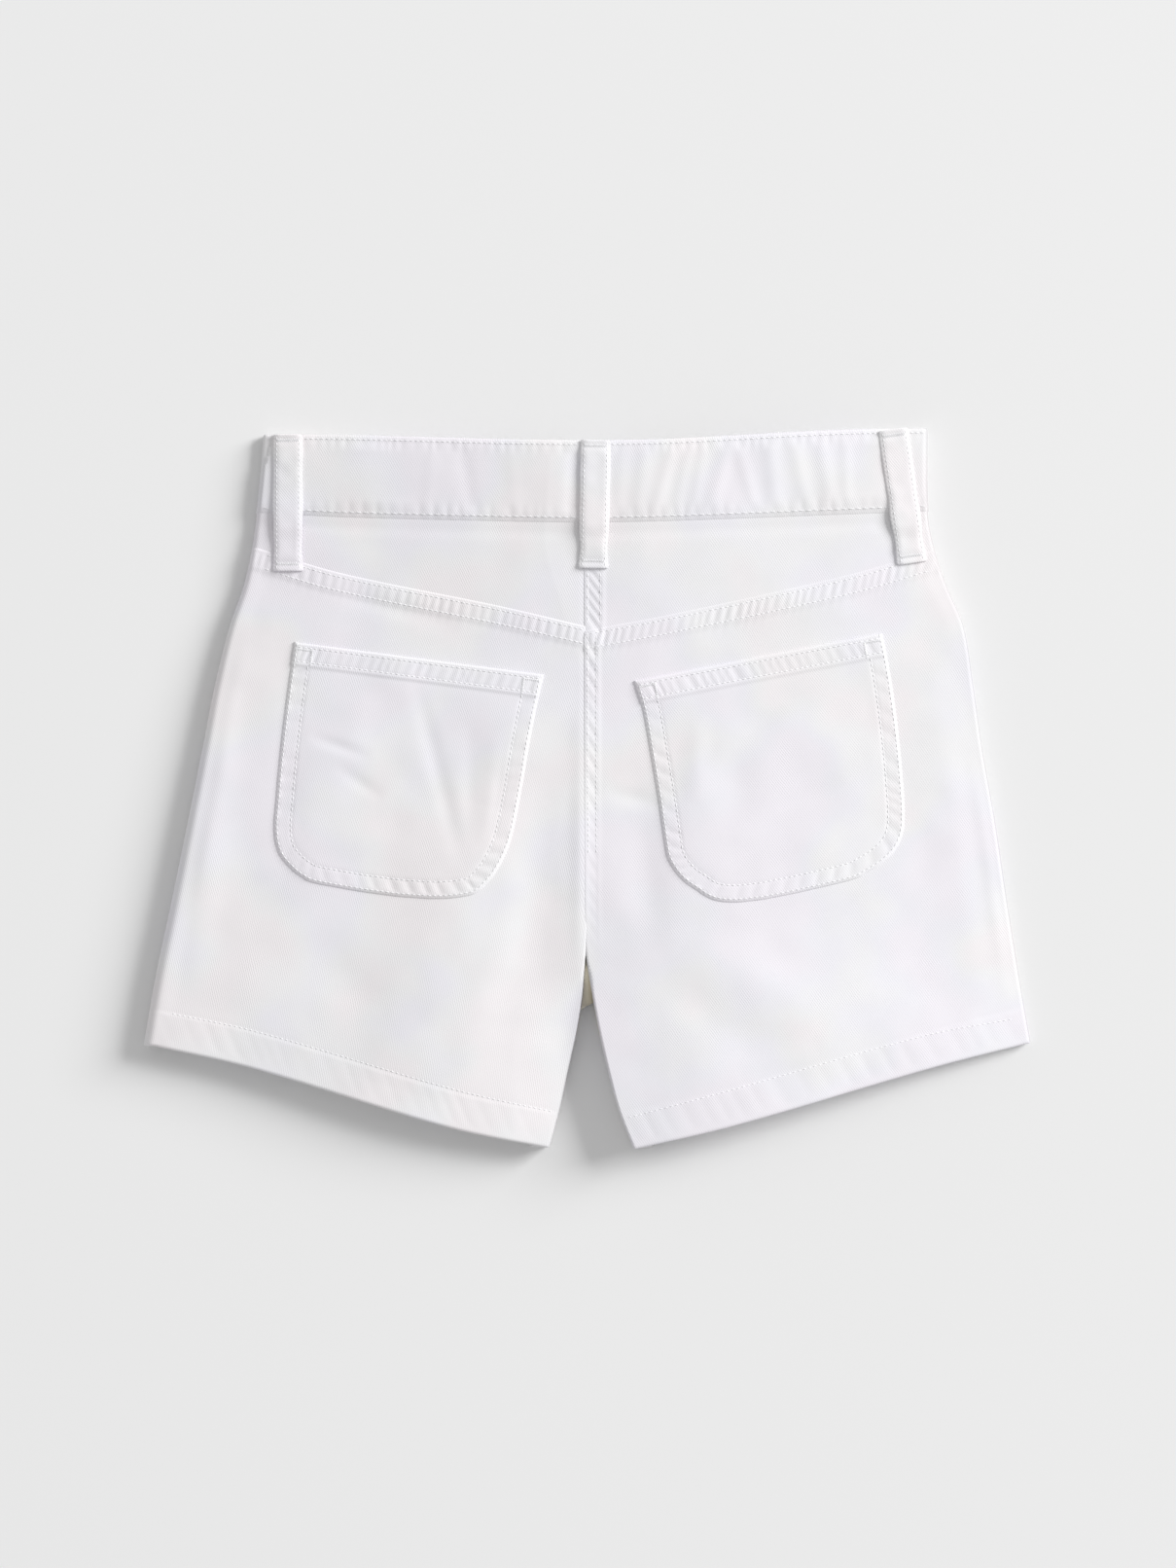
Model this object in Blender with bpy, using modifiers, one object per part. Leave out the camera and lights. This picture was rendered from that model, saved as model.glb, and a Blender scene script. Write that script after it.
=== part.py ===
"""A pair of white denim shorts for a child, lying flat with the back up.

The waist points to +Y and the wearer's left is at -X. The front lies on the floor at z 0 and the back lies
on it, rounded at the side folds and the inner leg folds. Each cut piece is a wall of cloth: its outer face
is lofted through sections across the garment, and Solidify gives it its thickness on the inside.
All sizes are in millimetres, and a mesh is made in metres.
"""

import bisect
import math
from collections import namedtuple

import bmesh
import bpy

MM = 0.001
GARMENT = "denim_shorts"
LEFT, RIGHT = -1, 1

# Thickness of the cloth
CLOTH = 1.2  # one layer of denim
FOLDED_CLOTH = 2.4  # a turned hem, and the layers of a felled seam
BAND_CLOTH = 2.4  # the folded waistband
STRAP_CLOTH = 1.6  # a belt loop
SEAM_GAP = 0.3  # between two pieces at a seam
PATCH_GAP = 0.8  # between a panel and what is sewn on it

# How the garment lies
LEG_SIDE_REACH, WAIST_SIDE_REACH = 165.0, 130.0  # from a side fold to the crown
REACH_START, REACH_END = 40.0, 120.0  # over this stretch of y the first turns into the second
INNER_REACH = {LEFT: 72.0, RIGHT: 62.0}  # from an inner leg fold to the crown of its leg
CREASED = 4.0  # how far from its edge a creased fold begins to turn down
UNDERLAP = 9.0  # how far the back runs under the side fold, to the side seam
FRONT_LIFT = 1.9  # the front stands on its loops and button near the waist
LIFT_START, LIFT_END = 55.0, 95.0  # over this stretch of y the front rises to that height
LIFT_SIDE, LIFT_FULL = 134.0, 100.0  # and it comes down to the floor between these distances from the middle
FRONT_DIP = 8.0  # how far the front waist edge lies below the back one, at the centre
FRONT_HEM_RISE = 2.0  # how far the front hem lies above the back one
EVEN_SLOPE = 0.3  # of the slope to the crown, how much eases off on the way

# Raised strips
FELL_LIFT = 0.7  # a felled seam above the cloth beside it
BAND_LIFT = 0.9  # the waistband above the yoke
CENTRE_FELL = 8.0  # width of the felled centre seam
STEP = 0.8  # the slope at the edge of a raised strip

# Front of the waistband, along x
LAP_OUTER_END = 20.0
LAP_INNER_END = -15.0
LAP_RAMP_START, LAP_RAMP_END = 46.0, 27.0
FRONT_CENTRE = 3.0

Line = namedtuple("Line", "side quarter three_quarter centre")
Fold = namedtuple("Fold", "start_x start_y end_x end_y width height")
Edge = namedtuple("Edge", "y left right")
Loop = namedtuple("Loop", "top_x top_y bottom_x bottom_y")
Pocket = namedtuple("Pocket", "corner_x corner_y tilt")
Height = namedtuple("Height", "y side_left crown_left inner_left inner_right crown_right side_right")

# Where each line across the back lies (y), from the side fold to the centre seam or the inner leg fold
LINES = {
    LEFT: {
        "waist_edge": Line(162.0, 161.6, 159.4, 158.8),
        "band_foot": Line(125.1, 123.0, 120.9, 120.2),
        "yoke_seam": Line(110.0, 98.7, 83.1, 74.3),
        "fell_foot": Line(100.8, 89.6, 74.0, 65.2),
        "hem_stitch": Line(-101.6, -111.2, -137.7, -148.2),
        "hem_edge": Line(-117.8, -128.0, -155.1, -164.6),
    },
    RIGHT: {
        "waist_edge": Line(164.6, 163.8, 159.5, 158.7),
        "band_foot": Line(125.6, 124.0, 121.0, 120.2),
        "yoke_seam": Line(109.0, 97.3, 79.5, 72.0),
        "fell_foot": Line(99.8, 88.0, 70.3, 62.8),
        "hem_stitch": Line(-104.6, -113.0, -138.5, -150.8),
        "hem_edge": Line(-116.9, -128.2, -154.2, -164.8),
    },
}

# Side folds and inner edges (x) down the garment. The inner edge is the centre seam, and below the crotch
# it is the fold of the inner leg.
SIDE_FOLDS = [
    Edge(-118.0, -203.2, 203.2),
    Edge(-87.0, -197.8, 197.8),
    Edge(-51.0, -190.2, 192.0),
    Edge(-16.0, -183.1, 186.7),
    Edge(20.0, -175.9, 180.4),
    Edge(47.0, -170.6, 176.5),
    Edge(74.0, -163.9, 172.0),
    Edge(92.0, -157.6, 164.4),
    Edge(110.0, -153.6, 158.5),
    Edge(128.0, -151.2, 155.4),
    Edge(165.0, -148.3, 155.0),
]
INNER_EDGES = [
    Edge(-165.0, -17.4, 20.9),
    Edge(-147.0, -12.6, 13.9),
    Edge(-129.0, -8.7, 9.1),
    Edge(-111.0, -4.7, 5.0),
    Edge(-94.0, -2.0, 1.9),
    Edge(-78.0, -1.0, -0.6),
    Edge(-40.0, -1.4, -1.4),
    Edge(165.0, -1.8, -1.8),
]
# Top of the back at its side folds, at the crown of each half and at its inner edges, down the garment
HEIGHTS = [
    Height(-165.0, 8.8, 13.6, 8.8, 14.2, 15.2, 5.6),
    Height(-115.0, 9.6, 13.6, 9.2, 13.8, 15.2, 5.6),
    Height(-95.0, 9.9, 13.5, 10.3, 12.7, 15.0, 5.8),
    Height(-78.0, 9.9, 13.4, 11.2, 12.0, 14.6, 6.0),
    Height(-50.0, 9.7, 13.2, 12.0, 12.2, 14.2, 6.5),
    Height(0.0, 9.0, 12.8, 12.7, 12.7, 13.3, 7.6),
    Height(70.0, 7.2, 12.8, 12.8, 12.8, 12.8, 8.0),
    Height(125.0, 5.6, 13.2, 13.2, 13.2, 13.2, 8.4),
    Height(165.0, 5.6, 13.2, 13.2, 13.2, 13.2, 8.4),
]
CROTCH_Y = -78.0  # top of the notch between the legs
FRONT_CROTCH_Y = -101.0  # the front reaches lower than the back there
FRONT_SEAM_SHIFT = 4.0  # the front seam ends this far towards the right leg

# How far the inner edge of the back has turned down (degrees) at y, from the seam to the whole leg fold
TURN_Y = (-126.0, -113.0, -101.0, -90.0, -78.0, -62.0)
TURN_DEGREES = (180.0, 162.0, 122.0, 92.0, 45.0, 0.0)
FULL_TURN = 180.0

# The largest folds of the back: a ridge or trough along a line, fading at both ends
FOLDS = [
    Fold(-46.0, -8.0, -84.0, -138.0, 24.0, 1.2),  # from the pocket corner down the left leg
    Fold(-146.0, 20.0, -166.0, -112.0, 16.0, -0.4),  # beside the left side fold
    Fold(-20.0, 10.0, -22.0, -104.0, 10.0, -0.6),  # left of the centre seam
    Fold(22.0, 10.0, 30.0, -80.0, 9.0, -0.7),  # right of the centre seam
    Fold(22.0, -78.0, 108.0, -142.0, 11.0, -0.6),  # across the right leg
    Fold(48.0, -66.0, 128.0, -126.0, 12.0, 0.6),  # above that trough
    Fold(160.0, 66.0, 178.0, -104.0, 14.0, 0.5),  # along the right side fold
]

# Belt loops, by the middle of each strap's ends
LOOP_WIDTH = 14.5
BACK_LOOPS = {
    "belt_loop_back_left": Loop(-137.0, 162.0, -137.0, 98.8),
    "belt_loop_back_centre": Loop(3.8, 158.9, 2.7, 99.9),
    "belt_loop_back_right": Loop(139.6, 164.0, 148.4, 102.4),
}
FRONT_LOOPS = {
    "belt_loop_front_left": Loop(-80.0, 153.0, -80.0, 94.0),
    "belt_loop_front_right": Loop(86.0, 154.0, 86.0, 95.0),
}
LOOP_ARCH = 0.6  # a belt loop stands this much above what it crosses

# Patch pockets. The tilt is how far the top edge runs down towards the centre.
POCKETS = {
    LEFT: Pocket(-133.8, 66.9, math.radians(7.5)),
    RIGHT: Pocket(134.1, 70.8, math.radians(11.0)),
}
POCKET_WIDTH = 115.2
POCKET_DEPTH = 108.6
POCKET_TAPER = 6.9  # the inner edge leans in by this much before its corner
OUTER_CORNER = 22.0
INNER_CORNER = 26.3
POCKET_HEM = 12.0

BUTTON_RADIUS, BUTTON_HEIGHT, BUTTON_EDGE = 8.5, 1.5, 0.5
ZIP_WIDTH, ZIP_CLOTH = 24.0, 1.0
ZIP_TOP, ZIP_BOTTOM = 107.0, 18.0

DENIM = ("white_denim", (0.87, 0.87, 0.90, 1.0), 0.85, 0.0)
TAPE = ("zip_tape", (0.80, 0.80, 0.82, 1.0), 0.7, 0.0)
METAL = ("button_metal", (0.62, 0.61, 0.59, 1.0), 0.35, 1.0)


def clamp(value, low, high):
    return max(low, min(high, value))


def mix(start, end, share):
    return start + (end - start) * share


def ease(start, end, value):
    """0 at start and before, 1 at end and past it, smooth between."""
    t = clamp((value - start) / (end - start), 0.0, 1.0)
    return t * t * (3.0 - 2.0 * t)


def through(keys, values, at):
    """The smooth curve through values at ascending keys."""
    last = len(keys) - 1
    i = clamp(bisect.bisect_right(keys, at) - 1, 0, last - 1)

    def slope(j):
        before, after = max(j - 1, 0), min(j + 1, last)
        return (values[after] - values[before]) / (keys[after] - keys[before])

    span = keys[i + 1] - keys[i]
    t = clamp((at - keys[i]) / span, 0.0, 1.0)
    rise = values[i + 1] - values[i]
    start, end = slope(i) * span, slope(i + 1) * span
    return (
        values[i] + t * start + t * t * (3 * rise - 2 * start - end) + t**3 * (start + end - 2 * rise)
    )


def side_x(side, y):
    values = [edge.left if side == LEFT else edge.right for edge in SIDE_FOLDS]
    return through([edge.y for edge in SIDE_FOLDS], values, y)


def inner_x(side, y):
    """The inner edge of the back, with half a seam gap to the other side."""
    values = [edge.left if side == LEFT else edge.right for edge in INNER_EDGES]
    return through([edge.y for edge in INNER_EDGES], values, y) + side * SEAM_GAP / 2


def height_at(place, side, y):
    """Top of the back at its side fold, its crown or its inner edge."""
    column = f"{place}_{'left' if side == LEFT else 'right'}"
    return through([row.y for row in HEIGHTS], [getattr(row, column) for row in HEIGHTS], y)


def fold_width(place, side, y):
    """How far from its edge a fold begins to turn down: the left side is round, the others are creased."""
    half = height_at(place, side, y) / 2
    return half if (place, side) == ("side", LEFT) else min(half, CREASED)


def side_reach(y):
    return mix(LEG_SIDE_REACH, WAIST_SIDE_REACH, ease(REACH_START, REACH_END, y))


def line_y(side, name, u):
    """y of a named line at u, from 0 at the side fold to 1 at the inner edge."""
    return through((0.0, 0.25, 0.75, 1.0), LINES[side][name], u)


def between(side, upper, lower, share, shift=0.0):
    """The line across the back that lies a share of the way from one named line to another."""
    return lambda u: mix(line_y(side, upper, u), line_y(side, lower, u), share) + shift


def underside(x, y):
    """Height of the outer face of the front."""
    return FRONT_LIFT * ease(LIFT_START, LIFT_END, y) * ease(LIFT_SIDE, LIFT_FULL, abs(x))


def fold_height(x, y):
    """What the large folds add to the height of the back."""
    total = 0.0
    for fold in FOLDS:
        along_x, along_y = fold.end_x - fold.start_x, fold.end_y - fold.start_y
        length = math.hypot(along_x, along_y)
        off_x, off_y = x - fold.start_x, y - fold.start_y
        share = (off_x * along_x + off_y * along_y) / length**2
        if 0.0 < share < 1.0:
            aside = (off_x * along_y - off_y * along_x) / length
            total += fold.height * math.sin(math.pi * share) * math.exp(-((aside / fold.width) ** 2))
    return total


def top(side, x, y):
    """Height of the outer face of the back, between its folds."""
    low, crown, inner_low = (height_at(place, side, y) for place in ("side", "crown", "inner"))
    from_side = abs(x - side_x(side, y)) - fold_width("side", side, y)
    from_inner = abs(x - inner_x(side, y)) - fold_width("inner", side, y)
    over_torso = clamp(from_side / side_reach(y), 0.0, 1.0)
    over_torso = mix(over_torso, math.sin(math.pi / 2 * over_torso), EVEN_SLOPE)
    over_leg = math.sin(math.pi / 2 * clamp(from_inner / INNER_REACH[side], 0.0, 1.0))
    leg = ease(-10.0, CROTCH_Y, y)
    near_edge = min(ease(0.0, 20.0, from_side), mix(1.0, ease(0.0, 14.0, from_inner), leg))
    sunk = (crown - low) * (1.0 - over_torso) + (crown - inner_low) * (1.0 - over_leg)
    return crown - sunk + near_edge * fold_height(x, y)


# Columns of a back section. The fold is cut by angle, and the inner end by its distance from the edge.
FOLD_ANGLES = (-90.0, -50.0, -15.0, 15.0, 50.0, 90.0)
MIDDLE_COLUMNS = 10
INNER_END = (24.0, 20.0, 16.0, 12.5, CENTRE_FELL + STEP, CENTRE_FELL, 5.0, 2.5, 0.0)
ARC_STEPS = 12
TOP_STEPS = 60


def side_fold(side, y, lift):
    """The outer face under and round the side fold, as (x, z), from the side seam to the top."""
    half, wide = height_at("side", side, y) / 2, fold_width("side", side, y)
    edge = side_x(side, y)
    points = [(edge - side * UNDERLAP, 0.0)]
    for degrees in FOLD_ANGLES:
        angle = math.radians(degrees)
        out = lift * (1 + math.sin(angle)) / 2
        inward = wide - (wide + out) * math.cos(angle)
        points.append((edge - side * inward, half + (half + out) * math.sin(angle)))
    return points


def inner_end(side, y):
    """The outer face down and round the inner leg fold, as (x, z), from the top."""
    turned = clamp(through(TURN_Y, TURN_DEGREES, y), 0.0, FULL_TURN)
    half, wide = height_at("inner", side, y) / 2, fold_width("inner", side, y)
    widest = math.sin(math.radians(min(turned, 90.0)))
    edge = inner_x(side, y)
    points = []
    for step in range(ARC_STEPS + 1):
        angle = math.radians(turned * step / ARC_STEPS)
        inward = wide * (widest - math.sin(angle))
        points.append((edge + side * inward, -half * (1 - math.cos(angle))))
    under = (UNDERLAP - wide) * ease(0.9, 1.0, turned / FULL_TURN)
    points.append((points[-1][0] + side * under, points[-1][1]))
    return points


def cut_by_length(points, distances):
    """The points at these distances along a polyline."""
    travelled = [0.0]
    for a, b in zip(points, points[1:]):
        travelled.append(travelled[-1] + math.dist(a, b))
    cut = []
    for distance in distances:
        i = clamp(bisect.bisect_right(travelled, distance) - 1, 0, len(points) - 2)
        span = travelled[i + 1] - travelled[i]
        share = (distance - travelled[i]) / span if span else 0.0
        cut.append(tuple(mix(a, b, share) for a, b in zip(points[i], points[i + 1])))
    return cut, travelled[-1]


def over_the_top(side, line):
    """The outer face from the top of the side fold to the inner edge, as closely spaced points."""
    y_side, y_inner = line(0.0), line(1.0)
    start = side_x(side, y_side) - side * fold_width("side", side, y_side)
    end = inner_end(side, y_inner)
    points = []
    for step in range(TOP_STEPS + 1):
        u = step / TOP_STEPS
        x = mix(start, end[0][0], u)
        points.append((x, line(u), top(side, x, line(u))))
    shoulder = points[-1][2]
    points += [(x, y_inner, shoulder + z) for x, z in end[1:]]
    return points


def back_section(side, line, lift=0.0, centre_lift=0.0):
    """Outer face of the back along a line across it, from the side seam to the inner edge."""
    y_side = line(0.0)
    points = [(x, y_side, z) for x, z in side_fold(side, y_side, lift)]
    top_line = over_the_top(side, line)
    _, length = cut_by_length(top_line, [0.0])
    middle = length - INNER_END[0]
    distances = [middle * (i + 1) / MIDDLE_COLUMNS for i in range(MIDDLE_COLUMNS)]
    distances += [length - reach for reach in INNER_END[1:]]
    cut, _ = cut_by_length(top_line, distances)
    for (x, y, z), distance in zip(cut, distances):
        raised = centre_lift if length - distance <= CENTRE_FELL + 0.01 else 0.0
        points.append((x, y, z + max(lift, raised)))
    return points


def material(name, colour, roughness, metallic):
    made = bpy.data.materials.new(name)
    made.use_nodes = True
    shader = made.node_tree.nodes["Principled BSDF"]
    shader.inputs["Base Color"].default_value = colour
    shader.inputs["Roughness"].default_value = roughness
    shader.inputs["Metallic"].default_value = metallic
    made.diffuse_color = colour
    return made


def add_object(name, mesh, look):
    mesh.materials.append(material(f"{name}_{look[0]}", *look[1:]))
    made = bpy.data.objects.new(name, mesh)
    bpy.data.collections[GARMENT].objects.link(made)
    return made


def sheet(name, rows, thickness, look=DENIM, faces_up=True, folded=lambda row, column: False):
    """A wall of cloth whose outer face is lofted through rows of points. Its highest stretch faces up, or
    its lowest stretch faces down. Where folded(row, column) is true the wall is FOLDED_CLOTH thick."""
    shape = bmesh.new()
    grid = [[shape.verts.new([value * MM for value in point]) for point in row] for row in rows]
    for upper, lower in zip(grid, grid[1:]):
        for a, b, c, d in zip(upper, upper[1:], lower[1:], lower):
            shape.faces.new((a, b, c, d))
    shape.normal_update()
    outermost = max(shape.faces, key=lambda face: face.calc_center_median().z * (1 if faces_up else -1))
    if (outermost.normal.z > 0) != faces_up:
        bmesh.ops.reverse_faces(shape, faces=shape.faces)
    mesh = bpy.data.meshes.new(name)
    shape.to_mesh(mesh)
    shape.free()
    mesh.shade_smooth()
    made = add_object(name, mesh, look)
    wall = made.modifiers.new("cloth", "SOLIDIFY")
    wall.thickness = thickness * MM
    wall.offset = -1.0
    wall.use_even_offset = True
    wall.use_quality_normals = True
    columns = len(rows[0])
    chosen = [r * columns + c for r in range(len(rows)) for c in range(columns) if folded(r, c)]
    if chosen:
        group = made.vertex_groups.new(name="folded")
        group.add(chosen, 1.0, "REPLACE")
        wall.thickness = FOLDED_CLOTH * MM
        wall.vertex_group = "folded"
        wall.thickness_vertex_group = thickness / FOLDED_CLOTH
    return made


def centre_strip(side):
    """The number of columns in the felled centre seam, which is sewn on the right side only."""
    return sum(reach <= CENTRE_FELL for reach in INNER_END) if side == RIGHT else 0


# Rows of a back panel between its felled seam and the stitching of its hem, closer at the crotch
PANEL_ROWS = (0.07, 0.16, 0.25, 0.34, 0.43, 0.52, 0.59, 0.64, 0.68, 0.72, 0.76, 0.79, 0.82, 0.87, 0.93)


def yoke_lines(side):
    """From the waistband down to the felled seam."""
    return [
        between(side, "band_foot", "yoke_seam", 0.0, -SEAM_GAP),
        between(side, "band_foot", "yoke_seam", 0.5),
        between(side, "band_foot", "yoke_seam", 1.0, SEAM_GAP / 2),
    ]


def panel_lines(side):
    """From the felled seam down to the hem."""
    lines = [
        between(side, "yoke_seam", "fell_foot", 0.0, -SEAM_GAP / 2),
        between(side, "yoke_seam", "fell_foot", 1.0),
        between(side, "fell_foot", "hem_stitch", 0.0, -STEP),
    ]
    lines += [between(side, "fell_foot", "hem_stitch", share) for share in PANEL_ROWS]
    lines.append(between(side, "hem_stitch", "hem_edge", 0.0, STEP))
    lines.append(between(side, "hem_stitch", "hem_edge", 0.0))
    lines.append(between(side, "hem_stitch", "hem_edge", 1.0))
    return lines


FELL_LINES, HEM_LINES = 2, 2  # how many of these lines lie on the felled seam and on the hem


def back_panel(side, name):
    """From the yoke seam to the hem. The felled seam on its top edge is raised, its hem is folded inside."""
    lines = panel_lines(side)
    rows, strip_rows = [], 0
    for number, line in enumerate(lines):
        fell = FELL_LIFT * ease(CROTCH_Y, -60.0, line(1.0)) if side == RIGHT else 0.0
        strip_rows += line(1.0) > CROTCH_Y
        rows.append(back_section(side, line, FELL_LIFT if number < FELL_LINES else 0.0, fell))
    first_strip_column = len(rows[0]) - centre_strip(side)
    first_hem_row = len(lines) - HEM_LINES

    def folded(row, column):
        in_strip = column >= first_strip_column and row < strip_rows
        return row < FELL_LINES or row >= first_hem_row or in_strip

    sheet(name, rows, CLOTH, folded=folded)


def back_yoke(side, name):
    """Between the waistband and the felled yoke seam."""
    fell = FELL_LIFT if side == RIGHT else 0.0
    rows = [back_section(side, line, 0.0, fell) for line in yoke_lines(side)]
    first_strip_column = len(rows[0]) - centre_strip(side)
    sheet(name, rows, CLOTH, folded=lambda row, column: column >= first_strip_column)


def front_y(name, x):
    """y of a line of the waistband on the front, which dips under the back."""
    left, right = (line_y(side, name, 0.0) for side in (LEFT, RIGHT))
    left_x, right_x = (side_x(side, line_y(side, name, 0.0)) for side in (LEFT, RIGHT))
    share = (x - left_x) / (right_x - left_x)
    back_dip = mix(left, right, 0.5) - LINES[LEFT][name].centre
    return mix(left, right, share) - (back_dip + FRONT_DIP) * math.sin(math.pi * clamp(share, 0, 1)) ** 2


BAND_ROWS = (0.0, 0.5, 1.0)
BAND_COLUMNS = 9  # on each half of the back, between its fold and the centre
FRONT_COLUMNS = (20.0, 38.0, 57.0, 76.0, 95.0, 114.0, 132.0)  # on each half of the front


def waistband():
    """One folded strip all round: from its outer end on the front, under the left side fold, over the back
    and under the right side fold to its inner end, which laps inside the outer one."""
    rows = []
    for share in BAND_ROWS:
        line = {side: between(side, "band_foot", "waist_edge", share) for side in (LEFT, RIGHT)}

        def on_front(x, z=0.0, share=share):
            y = mix(front_y("band_foot", x), front_y("waist_edge", x), share)
            return (x, y, underside(x, y) + z)

        row = [on_front(x) for x in (LAP_OUTER_END, 0.0)]
        row += [on_front(-x) for x in FRONT_COLUMNS]
        row += band_side(LEFT, line[LEFT](0.0))
        row += band_top(LEFT, line[LEFT])
        row += band_top(RIGHT, line[RIGHT])[-2::-1]
        row += band_side(RIGHT, line[RIGHT](0.0))[::-1]
        row += [on_front(x) for x in FRONT_COLUMNS[:1:-1]]
        row.append(on_front(LAP_RAMP_START))
        lap_middle = mix(LAP_RAMP_END, LAP_INNER_END, 0.5)
        row += [on_front(x, BAND_CLOTH + SEAM_GAP) for x in (LAP_RAMP_END, lap_middle, LAP_INNER_END)]
        rows.append(row)
    sheet("waistband", rows, BAND_CLOTH)


def band_side(side, y):
    """Round the side fold, without the side seam that the back panels have."""
    return [(x, y, z) for x, z in side_fold(side, y, BAND_LIFT)[1:]]


def band_top(side, line):
    """From the side fold to the centre of the back. The two halves share their last point."""
    y_side = line(0.0)
    start = side_x(side, y_side) - side * fold_width("side", side, y_side)
    points = []
    for step in range(1, BAND_COLUMNS + 1):
        u = step / BAND_COLUMNS
        x = mix(start, INNER_EDGES[-1].left, u)
        points.append((x, line(u), top(side, x, line(u)) + BAND_LIFT))
    return points


FRONT_PANEL_COLUMNS = 9


def front_panel(side, name):
    """Flat on the floor, from the waistband to its own turned hem. Its rows meet the rows of the back at the
    side seam, and its side seam and inseam lie under the folds."""
    lap = UNDERLAP + SEAM_GAP
    centre = FRONT_CENTRE + side * SEAM_GAP / 2
    lines = yoke_lines(side) + panel_lines(side)
    back_top, back_foot = lines[0](1.0), lines[-1](1.0)
    front_top, front_foot = front_y("band_foot", centre) - SEAM_GAP, back_foot + FRONT_HEM_RISE
    rows = []
    for number, line in enumerate(lines):
        share = (back_top - line(1.0)) / (back_top - back_foot)
        drop = mix(front_top, front_foot, share) - line(1.0)
        y_inner = line(1.0) + drop
        seam = mix(inner_x(side, CROTCH_Y) + FRONT_SEAM_SHIFT, centre, ease(-90.0, 60.0, y_inner))
        inner = seam if y_inner > FRONT_CROTCH_Y else inner_x(side, y_inner) + side * (lap + SEAM_GAP)
        row = []
        for column in range(FRONT_PANEL_COLUMNS):
            u = column / (FRONT_PANEL_COLUMNS - 1)
            x = mix(side_x(side, line(0.0)) - side * lap, inner, u)
            y = line(u) + drop * ease(0.0, 1.0, u) if number else front_y("band_foot", x) - SEAM_GAP
            row.append((x, y, underside(x, y)))
        rows.append(row)
    first_hem_row = len(rows) - HEM_LINES
    sheet(name, rows, CLOTH, faces_up=False, folded=lambda row, column: row >= first_hem_row)


def pocket_span(depth):
    """How far across a pocket reaches at this depth below its top edge, as its outer and inner edge."""
    outer, inner = 0.0, POCKET_WIDTH - POCKET_TAPER * depth / (POCKET_DEPTH - INNER_CORNER)
    below_outer = depth - (POCKET_DEPTH - OUTER_CORNER)
    if below_outer > 0:
        outer = OUTER_CORNER - math.sqrt(OUTER_CORNER**2 - below_outer**2)
    below_inner = depth - (POCKET_DEPTH - INNER_CORNER)
    if below_inner > 0:
        corner_x = POCKET_WIDTH - POCKET_TAPER - INNER_CORNER
        inner = corner_x + math.sqrt(INNER_CORNER**2 - below_inner**2)
    return outer, inner


POCKET_ROWS = (0.0, 0.105, 0.115, 0.28, 0.45, 0.62, 0.76, 0.84, 0.91, 0.96, 0.985, 0.996)
POCKET_COLUMNS = 9


def back_pocket(side, name):
    """A patch on the panel, made from the panel's own surface moved out. Its turned top edge is thicker."""
    place = POCKETS[side]
    rows = []
    for share in POCKET_ROWS:
        depth = POCKET_DEPTH * share
        outer, inner = pocket_span(depth)
        raised = PATCH_GAP + CLOTH + (FELL_LIFT if depth < POCKET_HEM else 0.0)
        row = []
        for column in range(POCKET_COLUMNS):
            across = mix(outer, inner, column / (POCKET_COLUMNS - 1))
            along_x, along_y = math.cos(place.tilt), -math.sin(place.tilt)
            x = place.corner_x - side * (across * along_x + depth * along_y)
            y = place.corner_y + across * along_y - depth * along_x
            row.append((x, y, top(side, x, y) + raised))
        rows.append(row)
    folded_rows = sum(share * POCKET_DEPTH < POCKET_HEM for share in POCKET_ROWS)
    sheet(name, rows, CLOTH, folded=lambda row, column: row < folded_rows)


STRAP_COLUMNS = (-1.0, 0.0, 1.0)


def strap(name, loop, stands_at, faces_up):
    """A belt loop: a flat strap between its two sewn ends."""
    rows = []
    shares = (0.0, 0.05, 0.12, 0.3, 0.5, 0.66, 0.74, 0.84, 0.94, 1.0)
    angle = math.atan2(loop.bottom_x - loop.top_x, loop.top_y - loop.bottom_y)
    for share in shares:
        row = []
        for column in STRAP_COLUMNS:
            aside = column * LOOP_WIDTH / 2
            x = mix(loop.top_x, loop.bottom_x, share) + aside * math.cos(angle)
            y = mix(loop.top_y, loop.bottom_y, share) + aside * math.sin(angle)
            row.append((x, y, stands_at(x, y, share)))
        rows.append(row)
    sheet(name, rows, STRAP_CLOTH, faces_up=faces_up)


def back_loop(name, loop):
    """It is sewn to the waist edge and to the yoke, and stands clear of the waistband between."""
    side = LEFT if loop.top_x < 0 else RIGHT

    def stands_at(x, y, share):
        on_band = ease(line_y(side, "band_foot", 0.5) - 9.0, line_y(side, "band_foot", 0.5) - 2.0, y)
        arch = LOOP_ARCH * math.sin(math.pi * share) ** 0.5 if 0 < share < 1 else 0.0
        carried = FELL_LIFT + (BAND_LIFT - FELL_LIFT) * on_band
        return top(side, x, y) + carried + PATCH_GAP + STRAP_CLOTH + arch

    strap(name, loop, stands_at, True)


def front_loop(name, loop):
    strap(name, loop, lambda x, y, share: 0.0, False)


def front_button():
    """A disc under the lapped ends of the waistband."""
    shape = bmesh.new()
    bmesh.ops.create_cone(
        shape,
        cap_ends=True,
        segments=32,
        radius1=BUTTON_RADIUS * MM,
        radius2=BUTTON_RADIUS * MM,
        depth=BUTTON_HEIGHT * MM,
    )
    mesh = bpy.data.meshes.new("front_button")
    shape.to_mesh(mesh)
    shape.free()
    made = add_object("front_button", mesh, METAL)
    y = mix(front_y("band_foot", FRONT_CENTRE), front_y("waist_edge", FRONT_CENTRE), 0.5)
    made.location = (FRONT_CENTRE * MM, y * MM, BUTTON_HEIGHT / 2 * MM)
    edge = made.modifiers.new("edge", "BEVEL")
    edge.width = BUTTON_EDGE * MM
    edge.segments = 2


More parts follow.
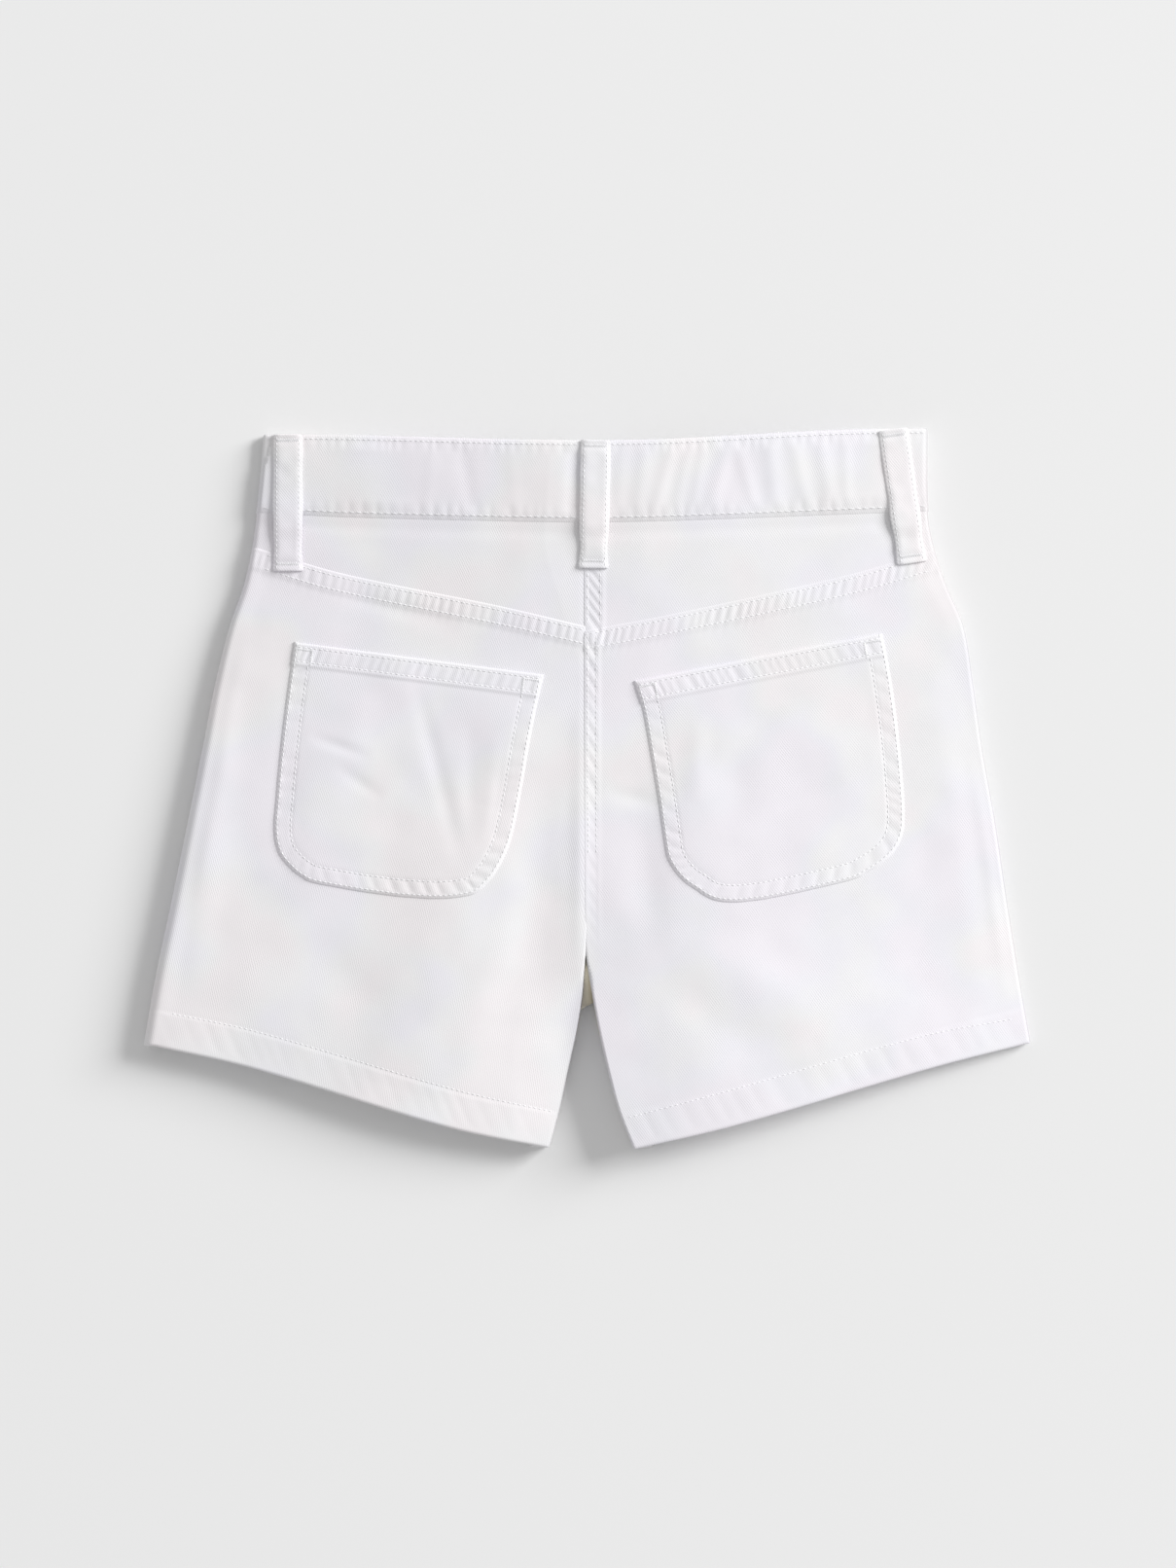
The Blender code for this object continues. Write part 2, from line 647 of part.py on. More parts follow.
def fly_zip():
    """The closed zip, flat on the inside of the front seam."""
    rows = []
    steps = 7
    for step in range(steps):
        y = mix(ZIP_TOP, ZIP_BOTTOM, step / (steps - 1))
        height = underside(FRONT_CENTRE, y) + CLOTH + PATCH_GAP + ZIP_CLOTH
        rows.append([(FRONT_CENTRE + c * ZIP_WIDTH / 2, y, height) for c in (-1.0, 0.0, 1.0)])
    sheet("fly_zip", rows, ZIP_CLOTH, TAPE)


def clear_scene():
    for old in list(bpy.data.objects):
        bpy.data.objects.remove(old, do_unlink=True)


def main():
    clear_scene()
    collection = bpy.data.collections.new(GARMENT)
    bpy.context.scene.collection.children.link(collection)
    for side, word in ((LEFT, "left"), (RIGHT, "right")):
        back_panel(side, f"back_panel_{word}")
        back_yoke(side, f"back_yoke_{word}")
        back_pocket(side, f"back_pocket_{word}")
        front_panel(side, f"front_panel_{word}")
    waistband()
    for name, loop in BACK_LOOPS.items():
        back_loop(name, loop)
    for name, loop in FRONT_LOOPS.items():
        front_loop(name, loop)
    front_button()
    fly_zip()


main()
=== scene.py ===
"""Looks of the white denim shorts, which lie flat on a pale floor with their back up.

Each cut piece is a thin shell of cloth on the form of its CAD node, with its turned edges, folds, puckers and
stitches. Sizes are in millimetres until a mesh is made. x, y and z are those of the frame: the waist points to
+Y and the wearer's left is at -X.
"""

import math
from collections import namedtuple
from functools import partial

import bmesh
import bpy
import numpy as np
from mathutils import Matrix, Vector
from mathutils.bvhtree import BVHTree


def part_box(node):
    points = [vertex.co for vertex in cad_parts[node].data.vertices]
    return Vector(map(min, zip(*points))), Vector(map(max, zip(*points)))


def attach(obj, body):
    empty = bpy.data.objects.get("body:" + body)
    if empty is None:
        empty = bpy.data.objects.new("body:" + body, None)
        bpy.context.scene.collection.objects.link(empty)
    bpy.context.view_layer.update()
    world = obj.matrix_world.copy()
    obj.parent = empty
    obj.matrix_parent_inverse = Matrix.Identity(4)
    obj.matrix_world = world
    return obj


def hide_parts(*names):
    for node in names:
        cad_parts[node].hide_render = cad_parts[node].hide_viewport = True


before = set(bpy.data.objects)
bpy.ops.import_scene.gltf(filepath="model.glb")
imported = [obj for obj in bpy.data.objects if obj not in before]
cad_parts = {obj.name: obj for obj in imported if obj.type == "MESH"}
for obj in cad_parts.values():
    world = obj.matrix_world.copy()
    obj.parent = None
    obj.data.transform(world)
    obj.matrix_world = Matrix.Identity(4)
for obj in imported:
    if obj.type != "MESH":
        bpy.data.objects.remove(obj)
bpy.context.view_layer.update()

MM = 0.001
LEFT, RIGHT = -1, 1
WORD = {LEFT: "left", RIGHT: "right"}

# ---- The form, as in the part's source

SEAM_GAP = 0.3
LEG_SIDE_REACH, WAIST_SIDE_REACH = 165.0, 130.0
REACH_START, REACH_END = 40.0, 120.0
INNER_REACH = {LEFT: 72.0, RIGHT: 62.0}
EVEN_SLOPE = {LEFT: 0.3, RIGHT: 0.8}
UNDERLAP = 9.0
FRONT_LIFT = 1.9
LIFT_START, LIFT_END = 55.0, 95.0
LIFT_SIDE, LIFT_FULL = 134.0, 100.0
FRONT_DIP = 8.0
FRONT_HEM_RISE = 2.0
BAND_LIFT = 0.9
LAP_OUTER_END, LAP_INNER_END = 20.0, -15.0
LAP_RAMP_START, LAP_RAMP_END = 46.0, 27.0
FRONT_CENTRE = 3.0

Line = namedtuple("Line", "side quarter three_quarter centre")
Fold = namedtuple("Fold", "start_x start_y end_x end_y width height")
Edge = namedtuple("Edge", "y left right")
Loop = namedtuple("Loop", "top_x top_y bottom_x bottom_y")
Pocket = namedtuple("Pocket", "corner_x corner_y tilt")
Span = namedtuple("Span", "depth outer inner")
Height = namedtuple("Height", "y side_left crown_left inner_left inner_right crown_right side_right")

LINES = {
    LEFT: {
        "waist_edge": Line(162.0, 161.6, 159.4, 158.8),
        "band_foot": Line(125.1, 123.0, 120.9, 120.2),
        "yoke_seam": Line(110.0, 98.7, 83.1, 74.3),
        "fell_foot": Line(100.8, 89.6, 74.0, 65.2),
        "hem_stitch": Line(-101.6, -111.2, -137.7, -148.2),
        "hem_edge": Line(-117.8, -128.0, -155.1, -164.6),
    },
    RIGHT: {
        "waist_edge": Line(164.6, 163.8, 159.5, 158.7),
        "band_foot": Line(125.6, 124.0, 121.0, 120.2),
        "yoke_seam": Line(109.0, 97.3, 79.5, 72.0),
        "fell_foot": Line(99.8, 88.0, 70.3, 62.8),
        "hem_stitch": Line(-104.6, -113.0, -138.5, -150.8),
        "hem_edge": Line(-116.9, -128.2, -154.2, -164.8),
    },
}
SIDE_FOLDS = [
    Edge(-118.0, -203.2, 203.2),
    Edge(-87.0, -197.8, 197.8),
    Edge(-51.0, -190.2, 192.0),
    Edge(-16.0, -183.1, 186.7),
    Edge(20.0, -175.9, 180.4),
    Edge(47.0, -170.6, 176.5),
    Edge(74.0, -163.9, 172.0),
    Edge(92.0, -157.6, 164.4),
    Edge(110.0, -153.6, 158.5),
    Edge(128.0, -151.2, 155.4),
    Edge(165.0, -148.3, 155.0),
]
INNER_EDGES = [
    Edge(-165.0, -17.4, 20.9),
    Edge(-147.0, -12.6, 13.9),
    Edge(-129.0, -8.7, 9.1),
    Edge(-111.0, -4.7, 5.0),
    Edge(-94.0, -2.0, 1.9),
    Edge(-78.0, -1.0, -0.6),
    Edge(-40.0, -1.4, -1.4),
    Edge(165.0, -1.8, -1.8),
]
HEIGHTS = [
    Height(-165.0, 8.4, 13.6, 8.8, 14.0, 14.9, 3.8),
    Height(-115.0, 9.5, 13.6, 9.2, 13.8, 14.9, 3.9),
    Height(-95.0, 9.9, 13.5, 10.6, 13.0, 14.7, 4.1),
    Height(-78.0, 9.9, 13.4, 12.0, 12.2, 14.3, 4.4),
    Height(-50.0, 9.7, 13.2, 12.4, 12.4, 13.9, 5.2),
    Height(0.0, 9.0, 12.8, 12.7, 12.7, 13.1, 6.6),
    Height(70.0, 7.2, 12.8, 12.8, 12.8, 12.8, 7.8),
    Height(125.0, 5.2, 13.2, 13.2, 13.2, 13.2, 8.4),
    Height(165.0, 4.1, 13.2, 13.2, 13.2, 13.2, 8.4),
]
CROTCH_Y = -78.0
FRONT_CROTCH_Y = -101.0
FRONT_SEAM_SHIFT = 4.0  # the front seam ends this far towards the right leg
TURN_Y = (-126.0, -113.0, -101.0, -90.0, -78.0, -62.0)
TURN_DEGREES = (180.0, 162.0, 122.0, 92.0, 20.0, 0.0)
LARGE_FOLDS = [
    Fold(-46.0, -8.0, -84.0, -138.0, 24.0, 1.2),
    Fold(-146.0, 20.0, -166.0, -112.0, 16.0, -0.4),
    Fold(-20.0, 10.0, -22.0, -104.0, 10.0, -0.6),
    Fold(22.0, 10.0, 30.0, -80.0, 9.0, -0.7),
    Fold(22.0, -78.0, 108.0, -142.0, 11.0, -0.6),
    Fold(48.0, -66.0, 128.0, -126.0, 12.0, 0.6),
    Fold(160.0, 66.0, 178.0, -104.0, 14.0, 0.5),
]
LOOP_WIDTH = 14.5
BACK_LOOPS = {
    "belt_loop_back_left": Loop(-137.0, 162.0, -137.0, 98.8),
    "belt_loop_back_centre": Loop(3.8, 158.9, 2.7, 99.9),
    "belt_loop_back_right": Loop(139.6, 164.0, 148.4, 102.4),
}
FRONT_LOOPS = {
    "belt_loop_front_left": Loop(-80.0, 153.0, -80.0, 94.0),
    "belt_loop_front_right": Loop(86.0, 154.0, 86.0, 95.0),
}
POCKETS = {
    LEFT: Pocket(-133.8, 66.9, math.radians(7.5)),
    RIGHT: Pocket(134.1, 70.8, math.radians(11.0)),
}

# ---- What only the looks have

CLOTH = 0.9  # thickness of one layer of the denim
CREASED = {"side": 0.9, "inner": 0.45}  # width of a creased fold, seen from above
LEG_START_Y = -10.0  # below this the two legs part from each other
TURNED = 1.9  # of a turned hem
STRIP = 0.8  # of the panel where it is folded over the yoke, above it
BAND_CLOTH = 2.0
BAND_DEPTH = 38.0
BAND_ROWS = (2.2, 3.1)  # rows of stitches, from the top and from the foot of the waistband
BAND_MIDDLE_Y = 140.0  # about halfway up the waistband
BAND_FRONT_END = 136.0  # where the front of the waistband turns into its side folds, either way from x = 0
STRAP_CLOTH = 1.1
RIM_STEPS = 3  # points round a rounded edge of the cloth, between its two faces
THREAD = 0.17  # radius of the sewing thread
LIGHT_TURN = math.radians(27.0)  # of the low light, from +X
STITCH = 2.4  # from one stitch to the next
LONG_STITCH = 3.2
BAR_THREAD = 0.12  # radius of the thread in a bar of dense stitches
TWILL = 0.94  # from one diagonal line to the next, in mm
FLOAT_LENGTH = 1.3  # of the thread between two crossings, along a line
NATURAL = (0.90, 0.82, 0.62)  # colour of the cotton on the inner face of the front

# How the outline of each pocket runs, from its top edge down
POCKET_SPANS = {
    LEFT: [
        Span(0.0, -0.3, 115.2),
        Span(13.0, -0.5, 114.0),
        Span(34.0, -0.5, 112.7),
        Span(54.0, -0.1, 112.0),
        Span(75.0, 0.8, 110.5),
        Span(85.0, 1.4, 108.2),
        Span(93.0, 3.3, 105.0),
        Span(98.5, 6.4, 101.5),
        Span(103.7, 12.4, 96.6),
        Span(106.6, 17.6, 88.0),
        Span(108.5, 24.5, 77.0),
        Span(109.5, 46.0, 62.0),
    ],
    RIGHT: [
        Span(0.0, -0.6, 115.2),
        Span(14.0, -0.9, 113.9),
        Span(34.0, -0.2, 114.2),
        Span(55.0, 1.4, 114.8),
        Span(75.0, 3.6, 115.8),
        Span(82.0, 4.6, 115.8),
        Span(89.0, 6.2, 113.4),
        Span(94.5, 8.8, 110.0),
        Span(99.0, 12.6, 105.6),
        Span(103.5, 19.5, 101.0),
        Span(106.5, 27.5, 95.5),
        Span(108.5, 36.0, 87.0),
        Span(109.4, 60.0, 76.0),
    ],
}

POCKET_ROWS = (1.7, 8.0)  # rows of stitches inside the edge of a pocket
POCKET_HEM_ROWS = (2.2, 8.8)  # and below its top
POCKET_LIFT = 0.85

# Smaller folds of the back: ridges, and troughs with a height below 0
DRAPE = [
    Fold(-160.0, 84.0, -182.0, -100.0, 7.0, 0.4),
    Fold(-135.0, 66.0, -138.0, -66.0, 8.0, -0.3),
    Fold(-33.0, 66.0, -38.0, -60.0, 16.0, 0.65),
    Fold(-2.6, 44.0, -3.4, -96.0, 4.2, 0.6),
    Fold(-129.0, -58.0, -92.0, -120.0, 15.0, -0.6),
    Fold(-30.0, -40.0, -58.0, -128.0, 9.0, 0.5),
    Fold(-112.0, 88.0, -58.0, 74.0, 4.5, -0.45),
    Fold(60.0, 80.0, 120.0, 88.0, 8.0, 0.3),
    Fold(8.0, -2.0, 34.0, -7.0, 3.5, -0.35),
    Fold(176.0, 30.0, 192.0, -88.0, 4.0, 0.35),
    Fold(70.0, -130.0, 104.0, -118.0, 5.0, 0.3),
]


# ---- Small tools


def mix(start, end, share):
    return start + (end - start) * share


def ease(start, end, value):
    """0 at start and before, 1 at end and past it, smooth between."""
    t = np.clip((value - start) / (end - start), 0.0, 1.0)
    return t * t * (3.0 - 2.0 * t)


def fade(start, end, value):
    """1 at start and before, 0 at end and past it."""
    return 1.0 - ease(start, end, value)


def bell(distance, width):
    """1 on a line, fading to 0 on both sides of it."""
    return np.exp(-((distance / width) ** 2))


def stacked(*columns):
    return np.stack(columns, axis=-1)


def walked_along(path):
    """The distance walked to each point of a path."""
    return np.concatenate([[0.0], np.cumsum(np.linalg.norm(np.diff(path, axis=0), axis=1))])


def places_on(path, targets, walked=None):
    """The path's columns at these distances along it."""
    walked = walked_along(path) if walked is None else walked
    return stacked(*(np.interp(targets, walked, column) for column in path.T))


def resampled(path, shares):
    """Points at these shares of the length of a path."""
    walked = walked_along(path)
    return places_on(path, shares * walked[-1], walked)


def spaced(*stretches):
    """Rising values: each stretch is (from, to, step), with its end left to the next one."""
    return counted(*((start, end, max(round(abs(end - start) / step), 1)) for start, end, step in stretches), spare=1)


def counted(*stretches, spare=0):
    """Rising values: each stretch is (from, to, how many), and only the last has its end, as a spare one or not."""
    *parts, (start, end, count) = stretches
    parts = [np.linspace(*part, endpoint=False) for part in parts]
    return np.concatenate([*parts, np.linspace(start, end, count + spare)])


def through(keys, values, at):
    """The smooth curve through values at ascending keys."""
    keys, values = np.asarray(keys, float), np.asarray(values, float)
    last = len(keys) - 1
    before = np.maximum(np.arange(last + 1) - 1, 0)
    after = np.minimum(np.arange(last + 1) + 1, last)
    slope = (values[after] - values[before]) / (keys[after] - keys[before])
    i = np.clip(np.searchsorted(keys, at, side="right") - 1, 0, last - 1)
    span = keys[i + 1] - keys[i]
    t = np.clip((at - keys[i]) / span, 0.0, 1.0)
    rise = values[i + 1] - values[i]
    start, end = slope[i] * span, slope[i + 1] * span
    return values[i] + t * start + t * t * (3 * rise - 2 * start - end) + t**3 * (start + end - 2 * rise)


def scattered(i, j, seed):
    """A repeatable value from -1 to 1 at a whole-numbered place."""
    value = np.sin(i * 127.1 + j * 311.7 + seed * 74.7) * 43758.5453
    return 2.0 * (value - np.floor(value)) - 1.0


def noise(x, y, size, seed):
    """Smooth unevenness from -1 to 1, with lumps of this size."""
    a, b = x / size, y / size
    i, j = np.floor(a), np.floor(b)
    u, v = ease(0.0, 1.0, a - i), ease(0.0, 1.0, b - j)
    low = mix(scattered(i, j, seed), scattered(i + 1, j, seed), u)
    high = mix(scattered(i, j + 1, seed), scattered(i + 1, j + 1, seed), u)
    return mix(low, high, v)


def puckers(along, pitch, seed):
    """Narrow dents across a stitched edge, uneven in depth and about a pitch apart."""
    flat = np.zeros_like(along)
    wander = 0.5 * noise(along, flat, 2.7 * pitch, seed) + 0.2 * noise(along, flat, 1.3 * pitch, seed + 1)
    deep = 0.62 + 0.38 * noise(along, flat, 1.9 * pitch, seed + 2)
    return -deep * (0.5 + 0.5 * np.cos(2 * math.pi * (along / pitch + wander))) ** 2


def read_off(table, column, at):
    """The smooth curve through a column of a table whose first column rises."""
    return through([row[0] for row in table], [getattr(row, column) for row in table], at)


def side_x(side, y):
    return read_off(SIDE_FOLDS, WORD[side], y)


def inner_x(side, y):
    return read_off(INNER_EDGES, WORD[side], y) + side * SEAM_GAP / 2


def height_at(place, side, y):
    """Top of the back at its side fold, its crown, or its inner edge."""
    return read_off(HEIGHTS, f"{place}_{WORD[side]}", y)


def fold_width(place, side, y):
    """How far from its edge a fold begins to turn down: the left side is round, the others are creased."""
    half = height_at(place, side, y) / 2
    return half if (place, side) == ("side", LEFT) else np.minimum(half, CREASED[place])


def side_reach(y):
    return mix(LEG_SIDE_REACH, WAIST_SIDE_REACH, ease(REACH_START, REACH_END, y))


def line_y(side, name, u):
    """y of a named line at u, from 0 at the side fold to 1 at the inner edge."""
    return through((0.0, 0.25, 0.75, 1.0), LINES[side][name], u)


def between(side, upper, lower, share, shift=0.0):
    return lambda u: mix(line_y(side, upper, u), line_y(side, lower, u), share) + shift


def underside(x, y):
    """Height of the outer face of the front."""
    return FRONT_LIFT * ease(LIFT_START, LIFT_END, y) * ease(LIFT_SIDE, LIFT_FULL, np.abs(x))


def folds_height(folds, x, y):
    total = 0.0
    for fold in folds:
        along_x, along_y = fold.end_x - fold.start_x, fold.end_y - fold.start_y
        off_x, off_y = x - fold.start_x, y - fold.start_y
        length = math.hypot(along_x, along_y)
        share = np.clip((off_x * along_x + off_y * along_y) / length**2, 0.0, 1.0)
        aside = (off_x * along_y - off_y * along_x) / length
        total = total + fold.height * np.sin(math.pi * share) * bell(aside, fold.width)
    return total


def surface(side, x, y):
    """Height of the outer face of the back, with its folds."""
    low, crown, inner_low = (height_at(place, side, y) for place in ("side", "crown", "inner"))
    from_side = np.abs(x - side_x(side, y)) - fold_width("side", side, y)
    from_inner = np.abs(x - inner_x(side, y)) - fold_width("inner", side, y)
    over_torso = np.clip(from_side / side_reach(y), 0.0, 1.0)
    over_torso = mix(over_torso, np.sin(math.pi / 2 * over_torso), EVEN_SLOPE[side])
    over_leg = np.sin(math.pi / 2 * np.clip(from_inner / INNER_REACH[side], 0.0, 1.0))
    leg = ease(LEG_START_Y, CROTCH_Y, y)
    sunk = (crown - low) * (1.0 - over_torso) + (crown - inner_low) * (1.0 - over_leg)
    near_edge = np.minimum(ease(0.0, 20.0, from_side), mix(1.0, ease(0.0, 14.0, from_inner), leg))
    small = folds_height(DRAPE, x, y) + 0.28 * noise(x, y, 31.0, 3) + 0.1 * noise(x, y, 13.0, 5)
    return crown - sunk + near_edge * folds_height(LARGE_FOLDS, x, y) + ease(0.0, 8.0, from_side) * small


# ---- Cloth as shells


def normals_of(points):
    down, across = np.gradient(points, axis=0), np.gradient(points, axis=1)
    normal = np.cross(across, down)
    return normal / np.maximum(np.linalg.norm(normal, axis=2, keepdims=True), 1e-9)


def facing_up(points):
    """1 where the cloth lies level, fading to 0 where it stands upright."""
    return np.clip((np.abs(normals_of(points)[..., 2]) - 0.25) / 0.6, 0.0, 1.0)


def outward_of(points, facing):
    """Unit normals of a grid. They face up where it is highest, or down if facing is -1."""
    normal = normals_of(points)
    place = np.unravel_index(np.argmax(points[..., 2] * facing), points.shape[:2])
    place = tuple(int(np.clip(p, 1, n - 2)) for p, n in zip(place, points.shape[:2]))
    return normal if normal[place][2] * facing > 0 else -normal


def lifted(points, facing, height):
    return points + outward_of(points, facing) * height[..., None]


def give(mesh, name, values):
    """A value for each point, which a material can read by this name."""
    mesh.attributes.new(name, "FLOAT", "POINT").data.foreach_set("value", values.astype(np.float32))


def made_mesh(name, vertices, faces, look, weave=None, painted_shade=None):
    mesh = bpy.data.meshes.new(name)
    mesh.from_pydata((vertices * MM).tolist(), [], faces)
    mesh.update()
    mesh.shade_smooth()
    if weave is not None:
        corner = np.zeros(len(mesh.loops), np.int32)
        mesh.loops.foreach_get("vertex_index", corner)
        layer = mesh.uv_layers.new(name="weave")
        layer.data.foreach_set("uv", weave[corner].astype(np.float32).ravel())
    # Painted shade: how much the colour at each point is painted darker where the cloth turns towards the light
    if painted_shade is not None:
        give(mesh, "painted_shade", painted_shade)
    mesh.materials.append(look)
    made = bpy.data.objects.new(name, mesh)
    bpy.context.scene.collection.objects.link(made)
    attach(made, "root")
    return made


def painted_shade_towards_light(normal):
    """How much the colour is painted darker, as painted shade: from 0 for cloth that lies level to 1 for an edge
    turned towards the low light.
    """
    turned = normal[..., 0] * math.cos(LIGHT_TURN) + normal[..., 1] * math.sin(LIGHT_TURN)
    return np.clip((turned - 0.2) / 0.6, 0.0, 1.0)


def shell(node, outer, thickness, look, weave, facing=1, name=None):
    """A closed wall of cloth in a node's place. Its outer face is a grid of points, and its edges are rounded."""
    rows, columns = outer.shape[:2]
    normal = outward_of(outer, facing)
    thick = np.broadcast_to(thickness, (rows, columns))[..., None]
    index = np.arange(rows * columns).reshape(rows, columns)
    ring = np.concatenate([index[0], index[1:, -1], index[-1, -2::-1], index[-2:0:-1, 0]])
    r, c = np.divmod(ring, columns)
    n, half, edge = normal[r, c], thick[r, c] / 2, outer[r, c]
    beside = outer[np.clip(r, 1, rows - 2), np.clip(c, 1, columns - 2)]
    away = np.cross(np.roll(edge, -1, axis=0) - np.roll(edge, 1, axis=0), n)
    away *= math.copysign(1.0, (away * (edge - beside)).sum())
    away /= np.maximum(np.linalg.norm(away, axis=1, keepdims=True), 1e-9)
    angles = [math.pi * step / (RIM_STEPS + 1) for step in range(1, RIM_STEPS + 1)]
    outward = [n * math.cos(angle) + away * math.sin(angle) for angle in angles]
    rims = [edge - n * half + direction * half for direction in outward]
    vertices = np.concatenate([outer.reshape(-1, 3), (outer - normal * thick).reshape(-1, 3), *rims])
    quads = stacked(index[:-1, :-1], index[:-1, 1:], index[1:, 1:], index[1:, :-1]).reshape(-1, 4)
    rings = [ring, *(2 * index.size + step * len(ring) + np.arange(len(ring)) for step in range(RIM_STEPS))]
    rings.append(ring + index.size)
    faces = [quads, quads[:, ::-1] + index.size]
    for upper, lower in zip(rings, rings[1:]):
        faces.append(stacked(upper, lower, np.roll(lower, -1), np.roll(upper, -1)))
    faces = np.concatenate(faces)
    if np.cross(outer[0, 1] - outer[0, 0], outer[1, 0] - outer[0, 0]) @ normal[0, 0] <= 0:
        faces = faces[:, ::-1]
    weave = np.concatenate([weave.reshape(-1, 2), weave.reshape(-1, 2)] + [weave[r, c]] * RIM_STEPS)
    # Painted shade for the outer face, the inner face and the rims, by how far each turns towards the light
    painted_shade = np.concatenate([painted_shade_towards_light(part).ravel() for part in (normal, -normal, *outward)])
    made = made_mesh(name or f"{node}_cloth", vertices, faces.tolist(), look, weave, painted_shade)
    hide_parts(node)
    return made


def woven(across, down, degrees, middle_x=0.0, turn=0.0, middle_y=0.0):
    """Where each point lies in the weave: across its diagonal lines, and along them. They lean by this many
    degrees from +X, and by turn more for each millimetre down from middle_y."""
    angle = np.radians(degrees + turn * (middle_y - down))
    x, y = across - middle_x, down - middle_y
    return stacked(-x * np.sin(angle) + y * np.cos(angle), x * np.cos(angle) + y * np.sin(angle))


ARC = np.linspace(0.0, 1.0, 25)
OVER = np.linspace(0.0, 1.0, 201)[1:]


def turned_under(y):
    """How far the inner edge of a leg has turned in under itself, from 0 to 1."""
    return ease(0.9, 1.0, through(TURN_Y, TURN_DEGREES, y) / 180.0)


def section(side, line):
    """The outer face along a line across the back, closely spaced, from the side seam to the inner edge.
    Columns are x, y, z, and the share of the way across."""
    y_side, y_inner = line(0.0), line(1.0)
    edge, inner_edge = side_x(side, y_side), inner_x(side, y_inner)
    radius, inner_radius = height_at("side", side, y_side) / 2, height_at("inner", side, y_inner) / 2
    wide, inner_wide = fold_width("side", side, y_side), fold_width("inner", side, y_inner)
    ones = np.ones(ARC.shape)
    angle = np.pi * (ARC - 0.5)
    fold = stacked(edge - side * wide * (1 - np.cos(angle)), y_side * ones, radius * (1 + np.sin(angle)), 0.0 * ones)
    turned = math.radians(np.clip(through(TURN_Y, TURN_DEGREES, y_inner), 0.0, 180.0))
    widest = math.sin(min(turned, math.pi / 2))
    x, y = mix(edge - side * wide, inner_edge + side * inner_wide * widest, OVER), line(OVER)
    over = stacked(x, y, surface(side, x, y), OVER)
    angle = turned * ARC[1:]
    x = inner_edge + side * inner_wide * (widest - np.sin(angle))
    z = over[-1, 2] - inner_radius * (1 - np.cos(angle))
    round_end = stacked(x, y_inner * ones[1:], z, ones[1:])
    under = (UNDERLAP - inner_wide) * turned_under(y_inner)
    seam, last = [[edge - side * UNDERLAP, y_side, 0.0, 0.0]], round_end[-1:] + [[side * under, 0.0, 0.0, 0.0]]
    return np.concatenate([seam, fold, over, round_end, last])


FINE_END, FINE_STEP = 17.0, 0.8  # the stretch before the inner fold that has closer columns
FINE_TAIL = 8.0  # the least that is left for the fold


def back_grid(side, lines, step):
    """The outer face of a back piece as a grid, its shares across, its distances from the inner end, and its
    places round the folds measured as the cloth lies flat."""
    sections = [section(side, line) for line in lines]
    middle_count = int(max(np.ptp(s[:, 0]) for s in sections) / step)
    rows = []
    for s in sections:
        walked, flat = walked_along(s[:, :3]), walked_along(s[:, [0, 2]])
        total, fold_end, middle = walked[-1], walked[len(ARC)], len(ARC) + len(OVER) // 2
        tail = min(walked[len(ARC) + len(OVER)], total - FINE_TAIL)
        fine_start, fine_count = tail - FINE_END, int(FINE_END / FINE_STEP)
        over = (fold_end, fine_start, middle_count), (fine_start, tail, fine_count)
        targets = counted((0.0, fold_end, 18), *over, (tail, total, 14))
        s = np.column_stack([s, s[middle, 0] + side * (flat[middle] - flat)])
        rows.append(np.column_stack([places_on(s, targets, walked), total - targets]))
    points, (share, flat, reach) = np.array(rows)[..., :3], np.moveaxis(np.array(rows)[..., 3:], -1, 0)
    return points, share, reach, flat


# ---- Pieces of the back

UPPER_ROW, LOWER_ROW = 1.8, 8.0  # rows of stitches below the folded edge of the yoke seam
FELL, FELL_FULL = 9.0, 9.1  # depth of the felled seam
PANEL_BELOW_FELL = 202.0
HEM_DEPTH = 16.5


def stitched_band(depth, along, seed):
    """What the felled seam adds to the top of a back panel, by the depth from its folded edge."""
    raised = 0.4 * fade(LOWER_ROW - 0.2, LOWER_ROW + 3.4, depth) - 0.4 * fade(0.0, 1.5, depth)
    grooves = -0.12 * bell(depth - UPPER_ROW, 0.8) - 0.09 * bell(depth - LOWER_ROW, 0.8)
    inside = ease(UPPER_ROW - 0.6, UPPER_ROW + 1.4, depth) * fade(LOWER_ROW - 1.2, LOWER_ROW + 0.8, depth)
    below = 0.35 * bell(np.maximum(depth - LOWER_ROW, 0.0), 4.0) * (1.0 - inside) * (depth > LOWER_ROW)
    return raised + grooves + 0.3 * puckers(along + 0.25 * depth, 4.3, seed) * (inside + below)


def centre_strip(reach, y):
    """The felled centre seam on the right piece, by the distance from its edge."""
    above = mix(0.4, 1.0, ease(-30.0, 50.0, y)) * ease(CROTCH_Y - 2.0, -52.0, y)
    wide = mix(6.6, 8.6, ease(60.0, 75.0, y))
    raised = 0.22 * fade(wide - 1.0, wide + 1.8, reach) - 0.2 * fade(0.0, 1.4, reach)
    grooves = -0.06 * bell(reach - 1.6, 0.6) - 0.08 * bell(reach - wide + 1.2, 0.7)
    inside = ease(0.8, 2.4, reach) * fade(wide - 2.2, wide, reach)
    return above * (raised + grooves + 0.5 * puckers(y + 1.3 * reach, 7.6, 8) * inside)


def at_centre_seam(side, points, relief, reach):
    """The outer face with its relief. The right piece has the felled strip, and the left one runs in under it."""
    y, up = points[..., 1], facing_up(points)
    if side == RIGHT:
        return lifted(points, 1, relief + up * centre_strip(reach, y))
    outer = lifted(points, 1, relief)
    under = ease(CROTCH_Y + 2.0, -60.0, outer[..., 1]) * fade(0.0, 2.2, reach)
    return outer + stacked(0.7 * under, 0.0 * under, -0.1 * under)


